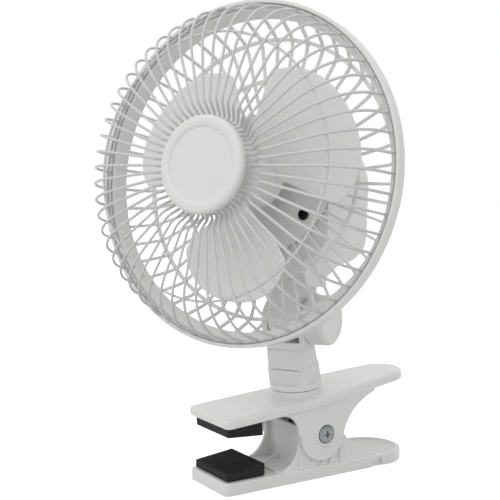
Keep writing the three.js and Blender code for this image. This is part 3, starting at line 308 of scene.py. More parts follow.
# Camera and light, in metres
EYE = Vector((0.4612, -0.3270, 0.1756))
EYE_PITCH = -4.24
EYE_HEADING = 57.48
LENS = 68.4
FLOOR_GLOW = 0.86
WORLD_LIGHT = 0.74
KEY_LIGHT = 2.1
TOP_LIGHT = 0.8

# --- Frames of the bodies ---


def axes(origin, right, up):
    """A frame from its origin and its x and z directions."""
    z = Vector(up).normalized()
    x = Vector(right)
    x = (x - z * x.dot(z)).normalized()
    turn = Matrix((x, z.cross(x), z)).transposed().to_4x4()
    return Matrix.Translation(Vector(origin)) @ turn


joints = {joint["name"]: joint for joint in frame["joints"]}
tilt_right = -Vector(joints["head_tilt"]["axis"])
CLIP = Matrix.Identity(4)
LEVER = axes(joints["clip_open"]["pos_m"], (1, 0, 0), joints["neck_pan"]["axis"])
NECK = axes(joints["neck_pan"]["pos_m"], tilt_right, joints["neck_pan"]["axis"])
FAN = axes(joints["rotor_spin"]["pos_m"], tilt_right, joints["rotor_spin"]["axis"])

# --- Outlines ---


def polar(radius, angle):
    """A point at a radius and an angle in degrees."""
    return radius * math.cos(math.radians(angle)), radius * math.sin(math.radians(angle))


def arc(x, y, radius, start, end, steps):
    """Points round (x, y) from one angle to the other."""
    places = [polar(radius, start + (end - start) * i / steps) for i in range(steps + 1)]
    return [(x + a, y + b) for a, b in places]


def curve(a, b, c, steps):
    """Points from a to c on the curve that b pulls towards itself."""
    a, b, c = Vector(a), Vector(b), Vector(c)
    found = []
    for i in range(steps + 1):
        t = i / steps
        found.append(tuple(a * (1 - t) ** 2 + b * 2 * t * (1 - t) + c * t**2))
    return found


def eased(points, radius, steps=4, loop=False):
    """The points with each corner replaced by a short curve."""
    points = [Vector(p) for p in points]
    count = len(points)
    found = []
    for i, corner in enumerate(points):
        if not loop and i in (0, count - 1):
            found.append(tuple(corner))
            continue
        before = points[i - 1] - corner
        after = points[(i + 1) % count] - corner
        start = corner + before.normalized() * min(radius, before.length * 0.48)
        end = corner + after.normalized() * min(radius, after.length * 0.48)
        found += curve(start, corner, end, steps)
    return found


def rounded_box_outline(half_x, half_y, radius, steps=3):
    """A rectangle about the origin with rounded corners."""
    corners = [(half_x, half_y), (-half_x, half_y), (-half_x, -half_y), (half_x, -half_y)]
    return eased(corners, radius, steps, loop=True)


# --- Shapes: lists of vertices and faces ---


def joined(shapes):
    """Several shapes as one."""
    vertices, faces = [], []
    for more, sides in shapes:
        faces += [[i + len(vertices) for i in side] for side in sides]
        vertices += more
    return vertices, faces


def moved(shape, matrix):
    """A shape after a matrix that is in millimetres."""
    return [tuple(matrix @ Vector(v)) for v in shape[0]], shape[1]


def shifted(shape, x=0, y=0, z=0):
    return moved(shape, Matrix.Translation((x, y, z)))


def turned(shape, angle):
    return moved(shape, Matrix.Rotation(math.radians(angle), 4, "Z"))


def mirrored(shape):
    """A shape and its mirror image about x = 0."""
    other = [(-x, y, z) for x, y, z in shape[0]], [side[::-1] for side in shape[1]]
    return joined([shape, other])


def along_x(shape):
    """A shape that was drawn on (y, z), stood up so that its thickness runs along x."""
    return [(z, x, y) for x, y, z in shape[0]], shape[1]


def bridge(rings, loop=False):
    """Faces between rings of equal count. A ring may be one repeated vertex."""
    faces = []
    pairs = list(zip(rings, rings[1:]))
    if loop:
        pairs.append((rings[-1], rings[0]))
    for low, high in pairs:
        for i in range(len(low)):
            j = (i + 1) % len(low)
            side = list(dict.fromkeys([low[i], low[j], high[j], high[i]]))
            if len(side) > 2:
                faces.append(side)
    return faces


def lathe(profile, segments=64, loop=False):
    """A profile of (radius, height) points turned about z."""
    vertices, rings = [], []
    for radius, height in profile:
        start = len(vertices)
        if radius < 1e-6:
            vertices.append((0, 0, height))
            rings.append([start] * segments)
        else:
            ring = arc(0, 0, radius, 0, 360, segments)[:-1]
            vertices += [(x, y, height) for x, y in ring]
            rings.append(list(range(start, start + segments)))
    return vertices, bridge(rings, loop)


def rod(radius, low, high, edge=0.3, segments=32):
    """A round bar along z with eased ends."""
    profile = eased([(0, low), (radius, low), (radius, high), (0, high)], edge, 3)
    return lathe(profile, segments)


def tube(outer, inner, low, high, edge, segments):
    """A ring or bush along z."""
    corners = [(inner, low), (outer, low), (outer, high), (inner, high)]
    return lathe(eased(corners, edge, 2, loop=True), segments, loop=True)


def hoop(radius, height, wire, segments):
    """A round wire bent into a circle."""
    return lathe(arc(radius, height, wire, 0, 360, 10)[:-1], segments, loop=True)


def loft(sections):
    """A closed skin over sections of equal count, with flat ends."""
    count = len(sections[0])
    vertices = [tuple(p) for section in sections for p in section]
    rings = [list(range(i * count, (i + 1) * count)) for i in range(len(sections))]
    return vertices, bridge(rings) + [rings[0][::-1], rings[-1]]


def sweep(points, section, up):
    """A section of (sideways, upward) places carried along points."""
    points = [Vector(p) for p in points]
    sections = []
    for i, point in enumerate(points):
        ahead = points[min(i + 1, len(points) - 1)] - points[max(i - 1, 0)]
        side = ahead.cross(up).normalized()
        top = side.cross(ahead).normalized()
        sections.append([point + side * a + top * b for a, b in section])
    return loft(sections)


def round_section(radius, sides=10):
    return arc(0, 0, radius, 0, 360, sides)[:-1]


def plan_loft(half_outline, profile, rise=None):
    """A closed body over an outline that is mirrored about x = 0, through (inset, height) levels.
    rise(y) lifts each vertex."""
    vertices, rings = [], []
    for inset, height in profile:
        right = half_outline(inset)
        left = [(-x, y) for x, y in right[-2:0:-1]]
        start = len(vertices)
        vertices += [(x, y, height + (rise(y) if rise else 0)) for x, y in right + left]
        rings.append(list(range(start, len(vertices))))
    faces = bridge(rings)
    for ring, flip in ((rings[0], True), (rings[-1], False)):
        count = len(ring)
        for i in range(count // 2):
            side = [ring[i], ring[i + 1], ring[(count - i - 1) % count], ring[-i % count]]
            side = list(dict.fromkeys(side))
            if len(side) > 2:
                faces.append(side[::-1] if flip else side)
    return vertices, faces


def plate(outline, low, high, edge):
    """A flat plate with rounded edges, from one height to the other."""
    drawn = bpy.data.curves.new("plate", "CURVE")
    drawn.dimensions = "2D"
    drawn.fill_mode = "BOTH"
    drawn.extrude = (high - low) / 2 - edge
    drawn.bevel_depth = edge
    drawn.bevel_resolution = 2
    drawn.offset = -edge
    spline = drawn.splines.new("POLY")
    spline.points.add(len(outline) - 1)
    for knot, (x, y) in zip(spline.points, outline):
        knot.co = (x, y, 0, 1)
    spline.use_cyclic_u = True
    carrier = bpy.data.objects.new("plate", drawn)
    shape = mesh_shape(carrier)
    bpy.data.objects.remove(carrier)
    return shifted(shape, z=(low + high) / 2)


def block(low, high, edge=0.4):
    """A box between two corners with rounded edges."""
    half = [(b - a) / 2 for a, b in zip(low, high)]
    middle = [(a + b) / 2 for a, b in zip(low, high)]
    outline = rounded_box_outline(half[0], half[1], max(edge, CUT_EDGE))
    return shifted(plate(outline, -half[2], half[2], edge * 0.9), *middle)


def linked(thing):
    """The object, once it is in the scene."""
    bpy.context.scene.collection.objects.link(thing)
    return thing


def mesh_shape(thing):
    """The evaluated mesh of an object as a shape, its doubled vertices merged."""
    linked(thing)
    graph = bpy.context.evaluated_depsgraph_get()
    mesh = bpy.data.meshes.new_from_object(thing.evaluated_get(graph))
    work = bmesh.new()
    work.from_mesh(mesh)
    bmesh.ops.remove_doubles(work, verts=work.verts, dist=1e-3)
    bmesh.ops.recalc_face_normals(work, faces=work.faces)
    work.to_mesh(mesh)
    work.free()
    shape = [tuple(v.co) for v in mesh.vertices], [list(p.vertices) for p in mesh.polygons]
    bpy.data.meshes.remove(mesh)
    return shape


def bare_object(name, shape, place=None):
    """A mesh object of a shape. With a place it is in metres in the row frame."""
    vertices, faces = shape
    if place is not None:
        vertices = [place @ (Vector(v) * MM) for v in vertices]
    mesh = bpy.data.meshes.new(name)
    mesh.from_pydata(vertices, [], faces)
    work = bmesh.new()
    work.from_mesh(mesh)
    bmesh.ops.recalc_face_normals(work, faces=work.faces)
    work.to_mesh(mesh)
    work.free()
    return bpy.data.objects.new(name, mesh)


def carved(shape, cutters, operation="DIFFERENCE"):
    """A shape less its cutters, or the part that it shares with them."""
    body = bare_object("body", shape)
    tools = [bare_object("cutter", cutter) for cutter in cutters]
    for tool in tools:
        change = body.modifiers.new("cut", "BOOLEAN")
        change.object = linked(tool)
        change.operation = operation
        change.solver = "EXACT"
    result = mesh_shape(body)
    for thing in (body, *tools):
        bpy.data.objects.remove(thing)
    return result


# --- Materials ---


def setting(node, **values):
    """The node with values on its inputs, named here with underscores for spaces."""
    for name, value in values.items():
        node.inputs[name.replace("_", " ")].default_value = value
    return node


def added(tree, kind, **values):
    """A new shader node of a kind."""
    return setting(tree.nodes.new("ShaderNode" + kind), **values)


def shader(name, color, roughness, metallic=0.0):
    """A new material, its Principled shader and coordinates that ride with the piece."""
    made = bpy.data.materials.new(name)
    made.use_nodes = True
    surface = made.node_tree.nodes["Principled BSDF"]
    setting(surface, Base_Color=(*color, 1), Roughness=roughness, Metallic=metallic)
    return made, surface, added(made.node_tree, "TexCoord").outputs["Object"]


def noise(places, size, detail=3.0, stretch=(1, 1, 1)):
    """Noise with features of about a size in millimetres, drawn out by stretch."""
    tree = places.id_data
    mapping = added(tree, "Mapping", Scale=stretch)
    texture = added(tree, "TexNoise", Scale=1 / (size * MM), Detail=detail)
    tree.links.new(places, mapping.inputs["Vector"])
    tree.links.new(mapping.outputs["Vector"], texture.inputs["Vector"])
    return texture.outputs["Fac"]


def tones(color, spread):
    """A darker and a lighter tone of a colour."""
    return [tuple(c * (1 + sign * spread) for c in color) for sign in (-1, 1)]


def vary_color(surface, factor, dark, light):
    """Base colour between two tones."""
    tree = surface.id_data
    ramp = added(tree, "ValToRGB")
    for stop, place, tone in zip(ramp.color_ramp.elements, (0.3, 0.7), (dark, light)):
        stop.position = place
        stop.color = (*tone, 1)
    tree.links.new(factor, ramp.inputs["Fac"])
    tree.links.new(ramp.outputs["Color"], surface.inputs["Base Color"])


def vary_roughness(surface, factor, low, high):
    tree = surface.id_data
    span = added(tree, "MapRange", From_Min=0.3, From_Max=0.7, To_Min=low, To_Max=high)
    tree.links.new(factor, span.inputs["Value"])
    tree.links.new(span.outputs["Result"], surface.inputs["Roughness"])


def emboss(surface, factor, depth, strength=0.5, under=None):
    """Relief of a depth in millimetres, on top of an earlier one."""
    tree = surface.id_data
    bump = added(tree, "Bump", Distance=depth * MM, Strength=strength)
    tree.links.new(factor, bump.inputs["Height"])
    if under is not None:
        tree.links.new(under.outputs["Normal"], bump.inputs["Normal"])
    tree.links.new(bump.outputs["Normal"], surface.inputs["Normal"])
    return bump


def moulded(name, color, roughness):
    """Moulded plastic: faint flow marks, uneven gloss, slight waviness and a fine grain."""
    made, surface, places = shader(name, color, roughness)
    vary_color(surface, noise(places, 22), *tones(color, 0.012))
    vary_roughness(surface, noise(places, 6), roughness - 0.05, roughness + 0.06)
    waves = emboss(surface, noise(places, 14, 1.0), 0.25, 0.12)
    emboss(surface, noise(places, 0.5), 0.03, 0.2, waves)
    setting(surface, IOR=1.49)
    return made


def blade_plastic():
    """Thin, slightly translucent plastic. Its base colour is lighter than the white plastic's partly as
    painted light, standing in for light that comes through the blades from behind.
    """
    made = moulded("blade_plastic", (0.87, 0.87, 0.865), 0.42)
    surface = made.node_tree.nodes["Principled BSDF"]
    setting(surface, Subsurface_Weight=0.25, Subsurface_Radius=(1, 1, 1), Subsurface_Scale=2 * MM)
    return made


def coated_wire():
    """Powder coat: thin orange peel. The grey base colour, darker than the white coat, is painted shade
    for the wires' shaded sides.
    """
    color = (0.68, 0.68, 0.68)
    made, surface, places = shader("coated_wire", color, 0.34)
    vary_color(surface, noise(places, 9), *tones(color, 0.02))
    vary_roughness(surface, noise(places, 3), 0.28, 0.42)
    emboss(surface, noise(places, 0.7, 1.0), 0.05, 0.35)
    return made


def black_rubber():
    made, surface, places = shader("black_rubber", (0.012, 0.012, 0.012), 0.62)
    setting(surface, Specular_IOR_Level=0.2)
    vary_color(surface, noise(places, 3), (0.009, 0.009, 0.009), (0.02, 0.02, 0.02))
    vary_roughness(surface, noise(places, 1.5), 0.52, 0.75)
    emboss(surface, noise(places, 0.4), 0.06, 0.5)
    return made


def worked_metal(name, color, roughness, size, stretch=(1, 1, 1)):
    """Metal with fine marks from its making."""
    made, surface, places = shader(name, color, roughness, 1.0)
    vary_color(surface, noise(places, size * 8), *tones(color, 0.08))
    marks = noise(places, size, 4.0, stretch)
    vary_roughness(surface, marks, roughness - 0.08, roughness + 0.12)
    emboss(surface, marks, 0.02, 0.25)
    return made


def banded(name, color, roughness, axis, pitch, distortion, spread, depth, strength):
    """Fine bands across an axis: wire laid side by side, or the edges of thin sheets."""
    made, surface, places = shader(name, color, roughness, 1.0)
    wave = added(made.node_tree, "TexWave", Scale=1 / (pitch * MM), Distortion=distortion)
    wave.bands_direction = axis
    made.node_tree.links.new(places, wave.inputs["Vector"])
    vary_color(surface, wave.outputs["Fac"], *tones(color, spread))
    emboss(surface, wave.outputs["Fac"], depth, strength)
    return made


materials = {
    "white_plastic": moulded("white_plastic", (0.83, 0.83, 0.82), 0.36),
    "inner_plastic": moulded("inner_plastic", (0.74, 0.74, 0.72), 0.5),
    "blade_plastic": blade_plastic(),
    "coated_wire": coated_wire(),
    "black_rubber": black_rubber(),
    "zinc_steel": worked_metal("zinc_steel", (0.24, 0.25, 0.26), 0.42, 0.5, (1, 1, 0.15)),
    "black_steel": worked_metal("black_steel", (0.015, 0.015, 0.015), 0.35, 0.4),
    "spring_steel": worked_metal("spring_steel", (0.13, 0.13, 0.135), 0.35, 0.4, (0.2, 1, 1)),
    "laminated_steel": banded("laminated_steel", (0.36, 0.37, 0.38), 0.45, "Y", 3, 0.2, 0.25, 0.1, 0.4),
    "copper_wire": banded("copper_wire", (0.55, 0.22, 0.09), 0.32, "Z", 2, 0.6, 0.3, 0.3, 0.6),
    "bearing_bronze": worked_metal("bearing_bronze", (0.48, 0.31, 0.15), 0.42, 0.3),
    "brass_insert": worked_metal("brass_insert", (0.68, 0.5, 0.22), 0.28, 0.4),
}

# --- Showing pieces ---


def smoothed(thing, angle, edge):
    """Smooth shading with crisp edges, and a small bevel where there is an edge to break."""
    thing.data.shade_smooth()
    if edge:
        bevel = thing.modifiers.new("bevel", "BEVEL")
        bevel.width = edge * MM
        bevel.segments = 2
        bevel.limit_method = "ANGLE"
        bevel.angle_limit = math.radians(angle)
        bevel.use_clamp_overlap = True
    weighted = thing.modifiers.new("weighted", "WEIGHTED_NORMAL")
    weighted.keep_sharp = True
    weighted.weight = 60


def stand_in(name, shape, place, node, slot):
    """A new object in the scene that stands for a CAD node."""
    thing = linked(bare_object(name, shape, place))
    thing.data.materials.append(materials[slot])
    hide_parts(node)
    return thing


def show(name, shape, place, node, slot, edge=0.0, sharp=40):
    """Adds a rigid piece that stands for a CAD node and rides on its body."""
    thing = stand_in(name, shape, place, node, slot)
    smoothed(thing, sharp, edge)
    thing.data.set_sharp_from_angle(angle=math.radians(sharp))
    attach(thing, frame["nodes"][node]["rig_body"])


def dress(node):
    """Gives a CAD node that stays its finish and broken edges."""
    thing = frame["nodes"][node]
    slots = {part["node"]: part["material_slot"] for part in frame["record"]["subparts"]}
    thing.data.materials.clear()
    thing.data.materials.append(materials[slots[node]])
    weld = thing.modifiers.new("weld", "WELD")
    weld.merge_threshold = 1e-6
    smoothed(thing, 40, 0.2)


# --- Clip ---


def base_half(inset):
    """Right-hand half of the lower jaw's outline, from front to rear."""
    half = BASE_HALF - inset
    corner = max(BASE_CORNER - inset, 0.3)
    front = BASE_FRONT + inset
    centre = BASE_REAR - BASE_HALF
    bend = arc(half - corner, front + corner, corner, -90, 0, 8)
    return [(0, front), *bend, *arc(0, centre, half, 0, 90, 24)]


def base_shell():
    """The jaw's flat body: hollow below, scooped on top of its handle, notched at the sides."""
    ease = BASE_EDGE * 0.3
    edge = [(0, BASE_TOP - BASE_EDGE), (ease, BASE_TOP - ease), (BASE_EDGE, BASE_TOP)]
    body = plan_loft(base_half, [(0.3, 0), (0, 0.3), *edge])
    hollow = plan_loft(
        lambda inset: [(x, min(y, CAVITY_REAR)) for x, y in base_half(BASE_SKIN)[:10]]
        + [(BASE_HALF - BASE_SKIN, CAVITY_REAR), (0, CAVITY_REAR)],
        [(0, -1), (0, BASE_TOP - BASE_SKIN)],
    )
    return carved(body, [hollow, scoop(), *notches()])


def scoop():
    """The shallow bowl in the handle."""
    end = BASE_REAR - SCOOP_MARGIN
    ball = lathe(arc(0, 0, 1, -90, 90, 24), 72)
    size = Matrix.Diagonal((BASE_HALF - SCOOP_MARGIN, (end - SCOOP_START) / 2, SCOOP_DEPTH, 1))
    return shifted(moved(ball, size), y=(end + SCOOP_START) / 2, z=BASE_TOP)


def notches():
    """A small three-cornered notch low in each side."""
    outline = [
        (NOTCH_Y - NOTCH_WIDTH / 2, -1), (NOTCH_Y + NOTCH_WIDTH / 2, -1),
        (NOTCH_Y + NOTCH_WIDTH / 4, NOTCH_HEIGHT),
    ]
    near, far = BASE_HALF - NOTCH_DEPTH, BASE_HALF + 1
    return [along_x(plate(outline, *sides, CUT_EDGE)) for sides in ((near, far), (-far, -near))]


def wall_outline():
    """Side wall: throat, cheek round the pivot and the tail that falls to the handle."""
    foot = BASE_TOP - 1
    cheek = arc(PIVOT.y, PIVOT.z, CHEEK_RADIUS, 130, 20, 20)
    middle = ((PIVOT.y + WALL_TAIL) / 2, BASE_TOP + 4)
    return [
        (THROAT_Y, foot), *arc(THROAT_Y, BASE_TOP + THROAT_RADIUS, THROAT_RADIUS, -90, 28, 28),
        *cheek, *curve(cheek[-1], middle, (WALL_TAIL, BASE_TOP), 16)[1:], (WALL_TAIL, foot),
    ]


def side_ribs():
    """Short upright ribs on the outside of each wall."""
    ribs = []
    clear = EAR_RADIUS + SIDE_RIB_CLEARANCE
    for y in SIDE_RIBS:
        across = y - PIVOT.y - EAR_CENTRE
        top = PIVOT.z - math.sqrt(clear**2 - across**2) if abs(across) < clear else SIDE_RIB_TOP
        low = (WALL_OUTER - 0.6, y - SIDE_RIB_WIDTH / 2, BASE_TOP - 1)
        high = (BASE_HALF, y + SIDE_RIB_WIDTH / 2, min(top, SIDE_RIB_TOP))
        ribs.append(block(low, high, 0.35))
    return mirrored(joined(ribs))


def cross_wall():
    """The upright wall behind the throat, its two gussets and the step in the floor."""
    inner = WALL_OUTER - WALL_THICKNESS / 2
    front = CROSS_WALL_REAR - CROSS_WALL_THICKNESS
    foot = BASE_TOP - 1
    wall = block((-inner, front, foot), (inner, CROSS_WALL_REAR, CROSS_WALL_TOP))
    tip, top = front - GUSSET_LENGTH, BASE_TOP + GUSSET_HEIGHT
    outline = [
        (tip, foot), (front + 0.5, foot), (front + 0.5, top),
        *curve((front, top), (front, BASE_TOP), (tip, BASE_TOP), 12),
    ]
    half = GUSSET_THICKNESS / 2
    gusset = mirrored(along_x(plate(outline, GUSSET_X - half, GUSSET_X + half, 0.3)))
    start, length, height = FLOOR_STEP
    step = block((-inner, start, foot), (inner, start + length, BASE_TOP + height), 0.3)
    return joined([wall, gusset, step])


def under_ribs():
    """The ribs in the hollow underside."""
    inner, top = BASE_HALF - 1, BASE_TOP - 1
    keel = block((-KEEL_WIDTH / 2, BASE_FRONT + 1, 0), (KEEL_WIDTH / 2, CAVITY_REAR + 0.5, top), 0.2)
    half = UNDER_RIB_WIDTH / 2
    bars = [block((-inner, y - half, UNDER_RIB_FOOT), (inner, y + half, top), 0.2) for y in UNDER_RIBS]
    return joined([keel, *bars])


def lower_jaw():
    wall = plate(wall_outline(), WALL_OUTER - WALL_THICKNESS, WALL_OUTER, 0.5)
    bore = along_x(shifted(rod(BOLT_RADIUS + GAP, -FAR, FAR), x=PIVOT.y, y=PIVOT.z))
    walls = carved(mirrored(along_x(wall)), [bore])
    shape = joined([base_shell(), walls, side_ribs(), cross_wall(), under_ribs()])
    show("lower_jaw_shell", shape, CLIP, "lower_jaw", "white_plastic", 0.25, 45)


def rise(y):
    """How far the lever's handle has risen at a place along it."""
    if y <= 0:
        return 0
    bend = LEVER_REAR * HANDLE_BEND
    end = LEVER_REAR + 1
    a, b = end - 2 * bend, 2 * bend
    t = (-b + math.sqrt(b**2 + 4 * a * y)) / (2 * a)
    return HANDLE_RISE * (HANDLE_BEND_RISE * 2 * t * (1 - t) + t**2)


def lever_half(inset):
    """Right-hand half of the lever's outline, from front to rear."""
    half = LEVER_HALF - inset
    tail = LEVER_TAIL_HALF - inset
    corner = max(LEVER_CORNER - inset, 0.3)
    front = LEVER_FRONT + inset
    centre = LEVER_REAR - LEVER_TAIL_HALF
    run = [(half, front + corner + (NARROWING_START - front - corner) * i / 10) for i in range(1, 10)]
    return [
        (0, front), *arc(half - corner, front + corner, corner, -90, 0, 8), *run,
        *curve((half, NARROWING_START), (half - 1, 20), (tail, centre), 20),
        *arc(0, centre, tail, 0, 90, 24)[1:],
    ]


def lever_shell():
    """The lever's top skin with its rounded upper edge and hollow underside."""
    turns = [math.radians(a) for a in range(0, 91, 15)]
    profile = [
        (LEVER_SKIN, LEVER_TOP - LEVER_SKIN), (LEVER_SKIN, LEVER_FOOT + 0.3),
        (LEVER_SKIN - 0.3, LEVER_FOOT), (0.4, LEVER_FOOT), (0, LEVER_FOOT + 0.4),
        *[(LEVER_EDGE * (1 - math.cos(a)), LEVER_TOP - LEVER_EDGE * (1 - math.sin(a))) for a in turns],
    ]
    return plan_loft(lever_half, profile, rise)


def ear_outline():
    """Ear: throat, round end below the pivot and the web to the handle."""
    top = LEVER_TOP - 1.2
    throat_side = LEVER_THROAT_Y + LEVER_THROAT_RADIUS
    end = LEVER_REAR / 2 + 2
    ear = arc(EAR_CENTRE, 0, EAR_RADIUS, 180, 350, 40)
    return [
        (LEVER_THROAT_Y, top), *arc(LEVER_THROAT_Y, LEVER_THROAT_Z, LEVER_THROAT_RADIUS, 90, 0, 16),
        *curve((throat_side, LEVER_THROAT_Z), (throat_side, 2), ear[0], 6)[1:], *ear[1:],
        *curve(ear[-1], (EAR_RADIUS + 3, 13), (end, LEVER_FOOT + 2), 20)[1:],
        (end, top),
    ]


def upper_lever():
    ear = along_x(plate(ear_outline(), EAR_OUTER - EAR_THICKNESS, EAR_OUTER, 0.45))
    ring_outer = EAR_OUTER + SCREW_RING_HEIGHT
    inner = BOLT_HEAD_RADIUS + GAP
    ring_profile = [
        (inner, EAR_OUTER - SCREW_RECESS), (SCREW_RING_RADIUS, EAR_OUTER - 1),
        (SCREW_RING_RADIUS, ring_outer), (inner, ring_outer),
    ]
    ring = lathe(eased(ring_profile, 0.35, 3, loop=True), 48, loop=True)
    recess = rod(inner, EAR_OUTER - SCREW_RECESS, ring_outer + 1, 0.05, 48)
    bore = rod(BOLT_RADIUS + GAP, EAR_OUTER - 5, ring_outer + 1, 0.05)
    sides = carved(ear, [along_x(recess), along_x(bore)])
    seat = block(
        (-LEVER_HALF + SEAT_INSET, LEVER_FRONT + SEAT_INSET, LEVER_FOOT),
        (LEVER_HALF - SEAT_INSET, LEVER_FRONT + SEAT_LENGTH, LEVER_FOOT + SEAT_THICKNESS),
    )
    boss = tube(BOSS_RADIUS, SWIVEL_RADIUS + GAP, LEVER_TOP - 1.2, LEVER_TOP + BOSS_HEIGHT, 0.6, 72)
    ears = mirrored(joined([sides, along_x(ring)]))
    shape = joined([lever_shell(), ears, seat, shifted(boss, y=NECK_OFFSET)])
    show("upper_lever_shell", shape, LEVER, "upper_lever", "white_plastic")


def pad_shape(length, front, rear):
    """A wedge of rubber with a flat side on z = 0, and rows of small dots on its sloping side."""
    outline = eased([(0, 0), (length, 0), (length, rear), (0, front)], 0.6, 3, loop=True)
    wedge = along_x(plate(outline, -PAD_HALF, PAD_HALF, 0.5))
    slope = (rear - front) / length
    levels = [(1, -0.5), (0.9, 0.4), (0.5, 0.9), (0, 1)]
    dot = lathe([(DOT_RADIUS * share, DOT_HEIGHT * level) for share, level in levels], 8)
    dots = []
    rows = int((length - 2) / DOT_ROW_PITCH)
    columns = int((PAD_HALF - PAD_EDGE_TO_DOT) / DOT_PITCH)
    for row in range(rows + 1):
        y = PAD_EDGE_TO_DOT + row * DOT_ROW_PITCH
        offset = DOT_PITCH / 2 if row % 2 else 0
        for column in range(-columns, columns + (0 if offset else 1)):
            dots.append(shifted(dot, column * DOT_PITCH + offset, y, front + slope * y))
    return joined([wedge, *dots])


def pads():
    lower = shifted(pad_shape(*LOWER_PAD), y=BASE_FRONT + PAD_INSET, z=BASE_TOP + GAP)
    show("lower_pad_rubber", lower, CLIP, "lower_pad", "black_rubber", sharp=50)
    upper = moved(pad_shape(*UPPER_PAD), Matrix.Diagonal((1, 1, -1, 1)))
    upper = shifted(upper, y=LEVER_FRONT + PAD_INSET, z=LEVER_FOOT - GAP)
    show("upper_pad_rubber", upper, LEVER, "upper_pad", "black_rubber", sharp=50)


def cross_slot(cross, height):
    """A driver's cross in a head of a height, narrower at its foot."""
    length, width, depth = cross
    outline = [(length, width), (-length, width), (-length, -width), (length, -width)]
    top = [(x, y, height + 0.3) for x, y in outline]
    foot = [(x * 0.5, y * 0.7, height - depth) for x, y in outline]
    bar = loft([foot[::-1], top[::-1]])
    return [bar, turned(bar, 90)]


def pivot_bolt():
    """Pan head screw with a cross recess."""
    seat = EAR_OUTER - SCREW_RECESS + GAP
    r, h = BOLT_HEAD_RADIUS, BOLT_HEAD_HEIGHT
    dome = eased([(0, 0), (r, 0), (r, h * 0.45), (r * 0.78, h * 0.88), (0, h)], 0.9, 4)
    head = carved(lathe(dome, 64), cross_slot(BOLT_CROSS, h))
    shank = rod(BOLT_RADIUS, -2 * seat - NUT_HEIGHT - 1, 0.4)
    shape = along_x(shifted(joined([head, shank]), PIVOT.y, PIVOT.z, seat))
    show("pivot_screw", shape, CLIP, "pivot_bolt", "zinc_steel", sharp=30)


def torsion_spring():
    """One wire: foot leg, coil round the sleeve, leg under the handle. It is made in one fixed shape
    that rides on no body.
    """
    radius = SLEEVE_RADIUS + GAP + SPRING_WIRE
    steps = int(SPRING_TURNS * 28)
    coil = []
    for i in range(steps + 1):
        share = i / steps
        y, z = polar(radius, SPRING_START - share * SPRING_TURNS * 360)
        coil.append(Vector(((share - 0.5) * SPRING_TURNS * SPRING_PITCH, y, z)))
    foot = Vector((coil[0].x, SPRING_LEG, BASE_TOP + GAP + SPRING_WIRE - PIVOT.z))
    up = LEVER.to_3x3() @ Vector((0, SPRING_LEG, LEVER_TOP - LEVER_SKIN - SPRING_WIRE - GAP))
    handle = Vector((coil[-1].x, up.y, up.z))
    points = [p + PIVOT for p in (foot, *coil, handle)]
    shape = sweep(points, round_section(SPRING_WIRE, 12), Vector((1, 0, 0)))
    thing = stand_in("torsion_spring_wire", shape, CLIP, "torsion_spring", "spring_steel")
    thing.data.shade_smooth()
    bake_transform(thing)


# --- Neck ---


def post_section(height, half, front, rear, slope):
    """A rounded rectangle round the post whose plane rises towards the rear."""
    centre = (rear - front) / 2
    outline = rounded_box_outline(half, (front + rear) / 2, POST_CORNER, 6)
    return [
        (x, y + centre, height + slope * (y + centre + front) / (front + rear)) for x, y in outline
    ]


def post_back(height):
    """How far the tapering post reaches back at a height."""
    return POST_DEPTH - POST_TAPER * (height - POST_FOOT) / (RIDGE_HEIGHTS[1] - POST_FOOT)


def post_stretch(start, end, slope):
    """A stretch of the post with a raised edge at its top. The slope is that of its foot."""
    step, back = RIDGE_STEP, post_back(end)
    sections = [post_section(start, POST_HALF, POST_DEPTH, post_back(start), slope)]
    for drop, share, dip in RIDGE_SHAPE:
        grown = step * share
        front = POST_DEPTH - dip
        sections.append(post_section(end - drop, POST_HALF + grown, front, back + grown, RIDGE_SLOPE))
    return loft(sections)


def post_collar():
    """The stretch that widens from the post to the fork."""
    top = RIDGE_HEIGHTS[1]
    back = post_back(top)
    return loft([
        post_section(top - 1, POST_HALF, POST_DEPTH - 1, back, RIDGE_SLOPE),
        post_section(top + 1.5, POST_HALF + 1, POST_DEPTH - 0.8, back + 0.4, RIDGE_SLOPE / 2),
        post_section(FORK_START, FORK_HALF, FORK_RADIUS, FORK_RADIUS * 0.6, 0),
        post_section(FORK_START + 3, FORK_HALF, FORK_RADIUS, FORK_RADIUS, 0),
    ])


def fork():
    """Two round cheeks with the tongue's slot between them."""
    outline = [(-FORK_RADIUS, FORK_START + 1), (FORK_RADIUS, FORK_START + 1)]
    outline += arc(0, TILT_HEIGHT, FORK_RADIUS, 0, 180, 40)
    return along_x(plate(outline, -FORK_HALF, FORK_HALF, 0.8))


def neck_post():
    bottom = BOSS_HEIGHT + GAP
    half = TONGUE_HALF + FORK_FIT
    slot_floor = TILT_HEIGHT - FORK_RADIUS - FORK_FIT
    slot = block((-half, -FAR, slot_floor), (half, FAR, TILT_HEIGHT + FAR), 0.05)
    bolt_bore = along_x(shifted(rod(TILT_BOLT_RADIUS + GAP, -FAR, FAR), y=TILT_HEIGHT))
    pocket_end = -FORK_HALF + TILT_HEAD_HEIGHT - 1
    pocket = rod(TILT_HEAD_RADIUS + GAP, -FORK_HALF - 1, pocket_end, CUT_EDGE, 6)
    flange = tube(FLANGE_RADIUS, SWIVEL_RADIUS + GAP, bottom, bottom + FLANGE_HEIGHT, 0.8, 72)
    top = carved(fork(), [slot, bolt_bore, along_x(shifted(pocket, y=TILT_HEIGHT))])
    collar = carved(post_collar(), [slot])
    low, high = RIDGE_HEIGHTS
    stretches = [post_stretch(POST_FOOT, low, 0), post_stretch(low - 1, high, RIDGE_SLOPE)]
    shape = joined([flange, *stretches, collar, top])
    show("neck_fork", shape, NECK, "neck_post", "white_plastic", 0.3)


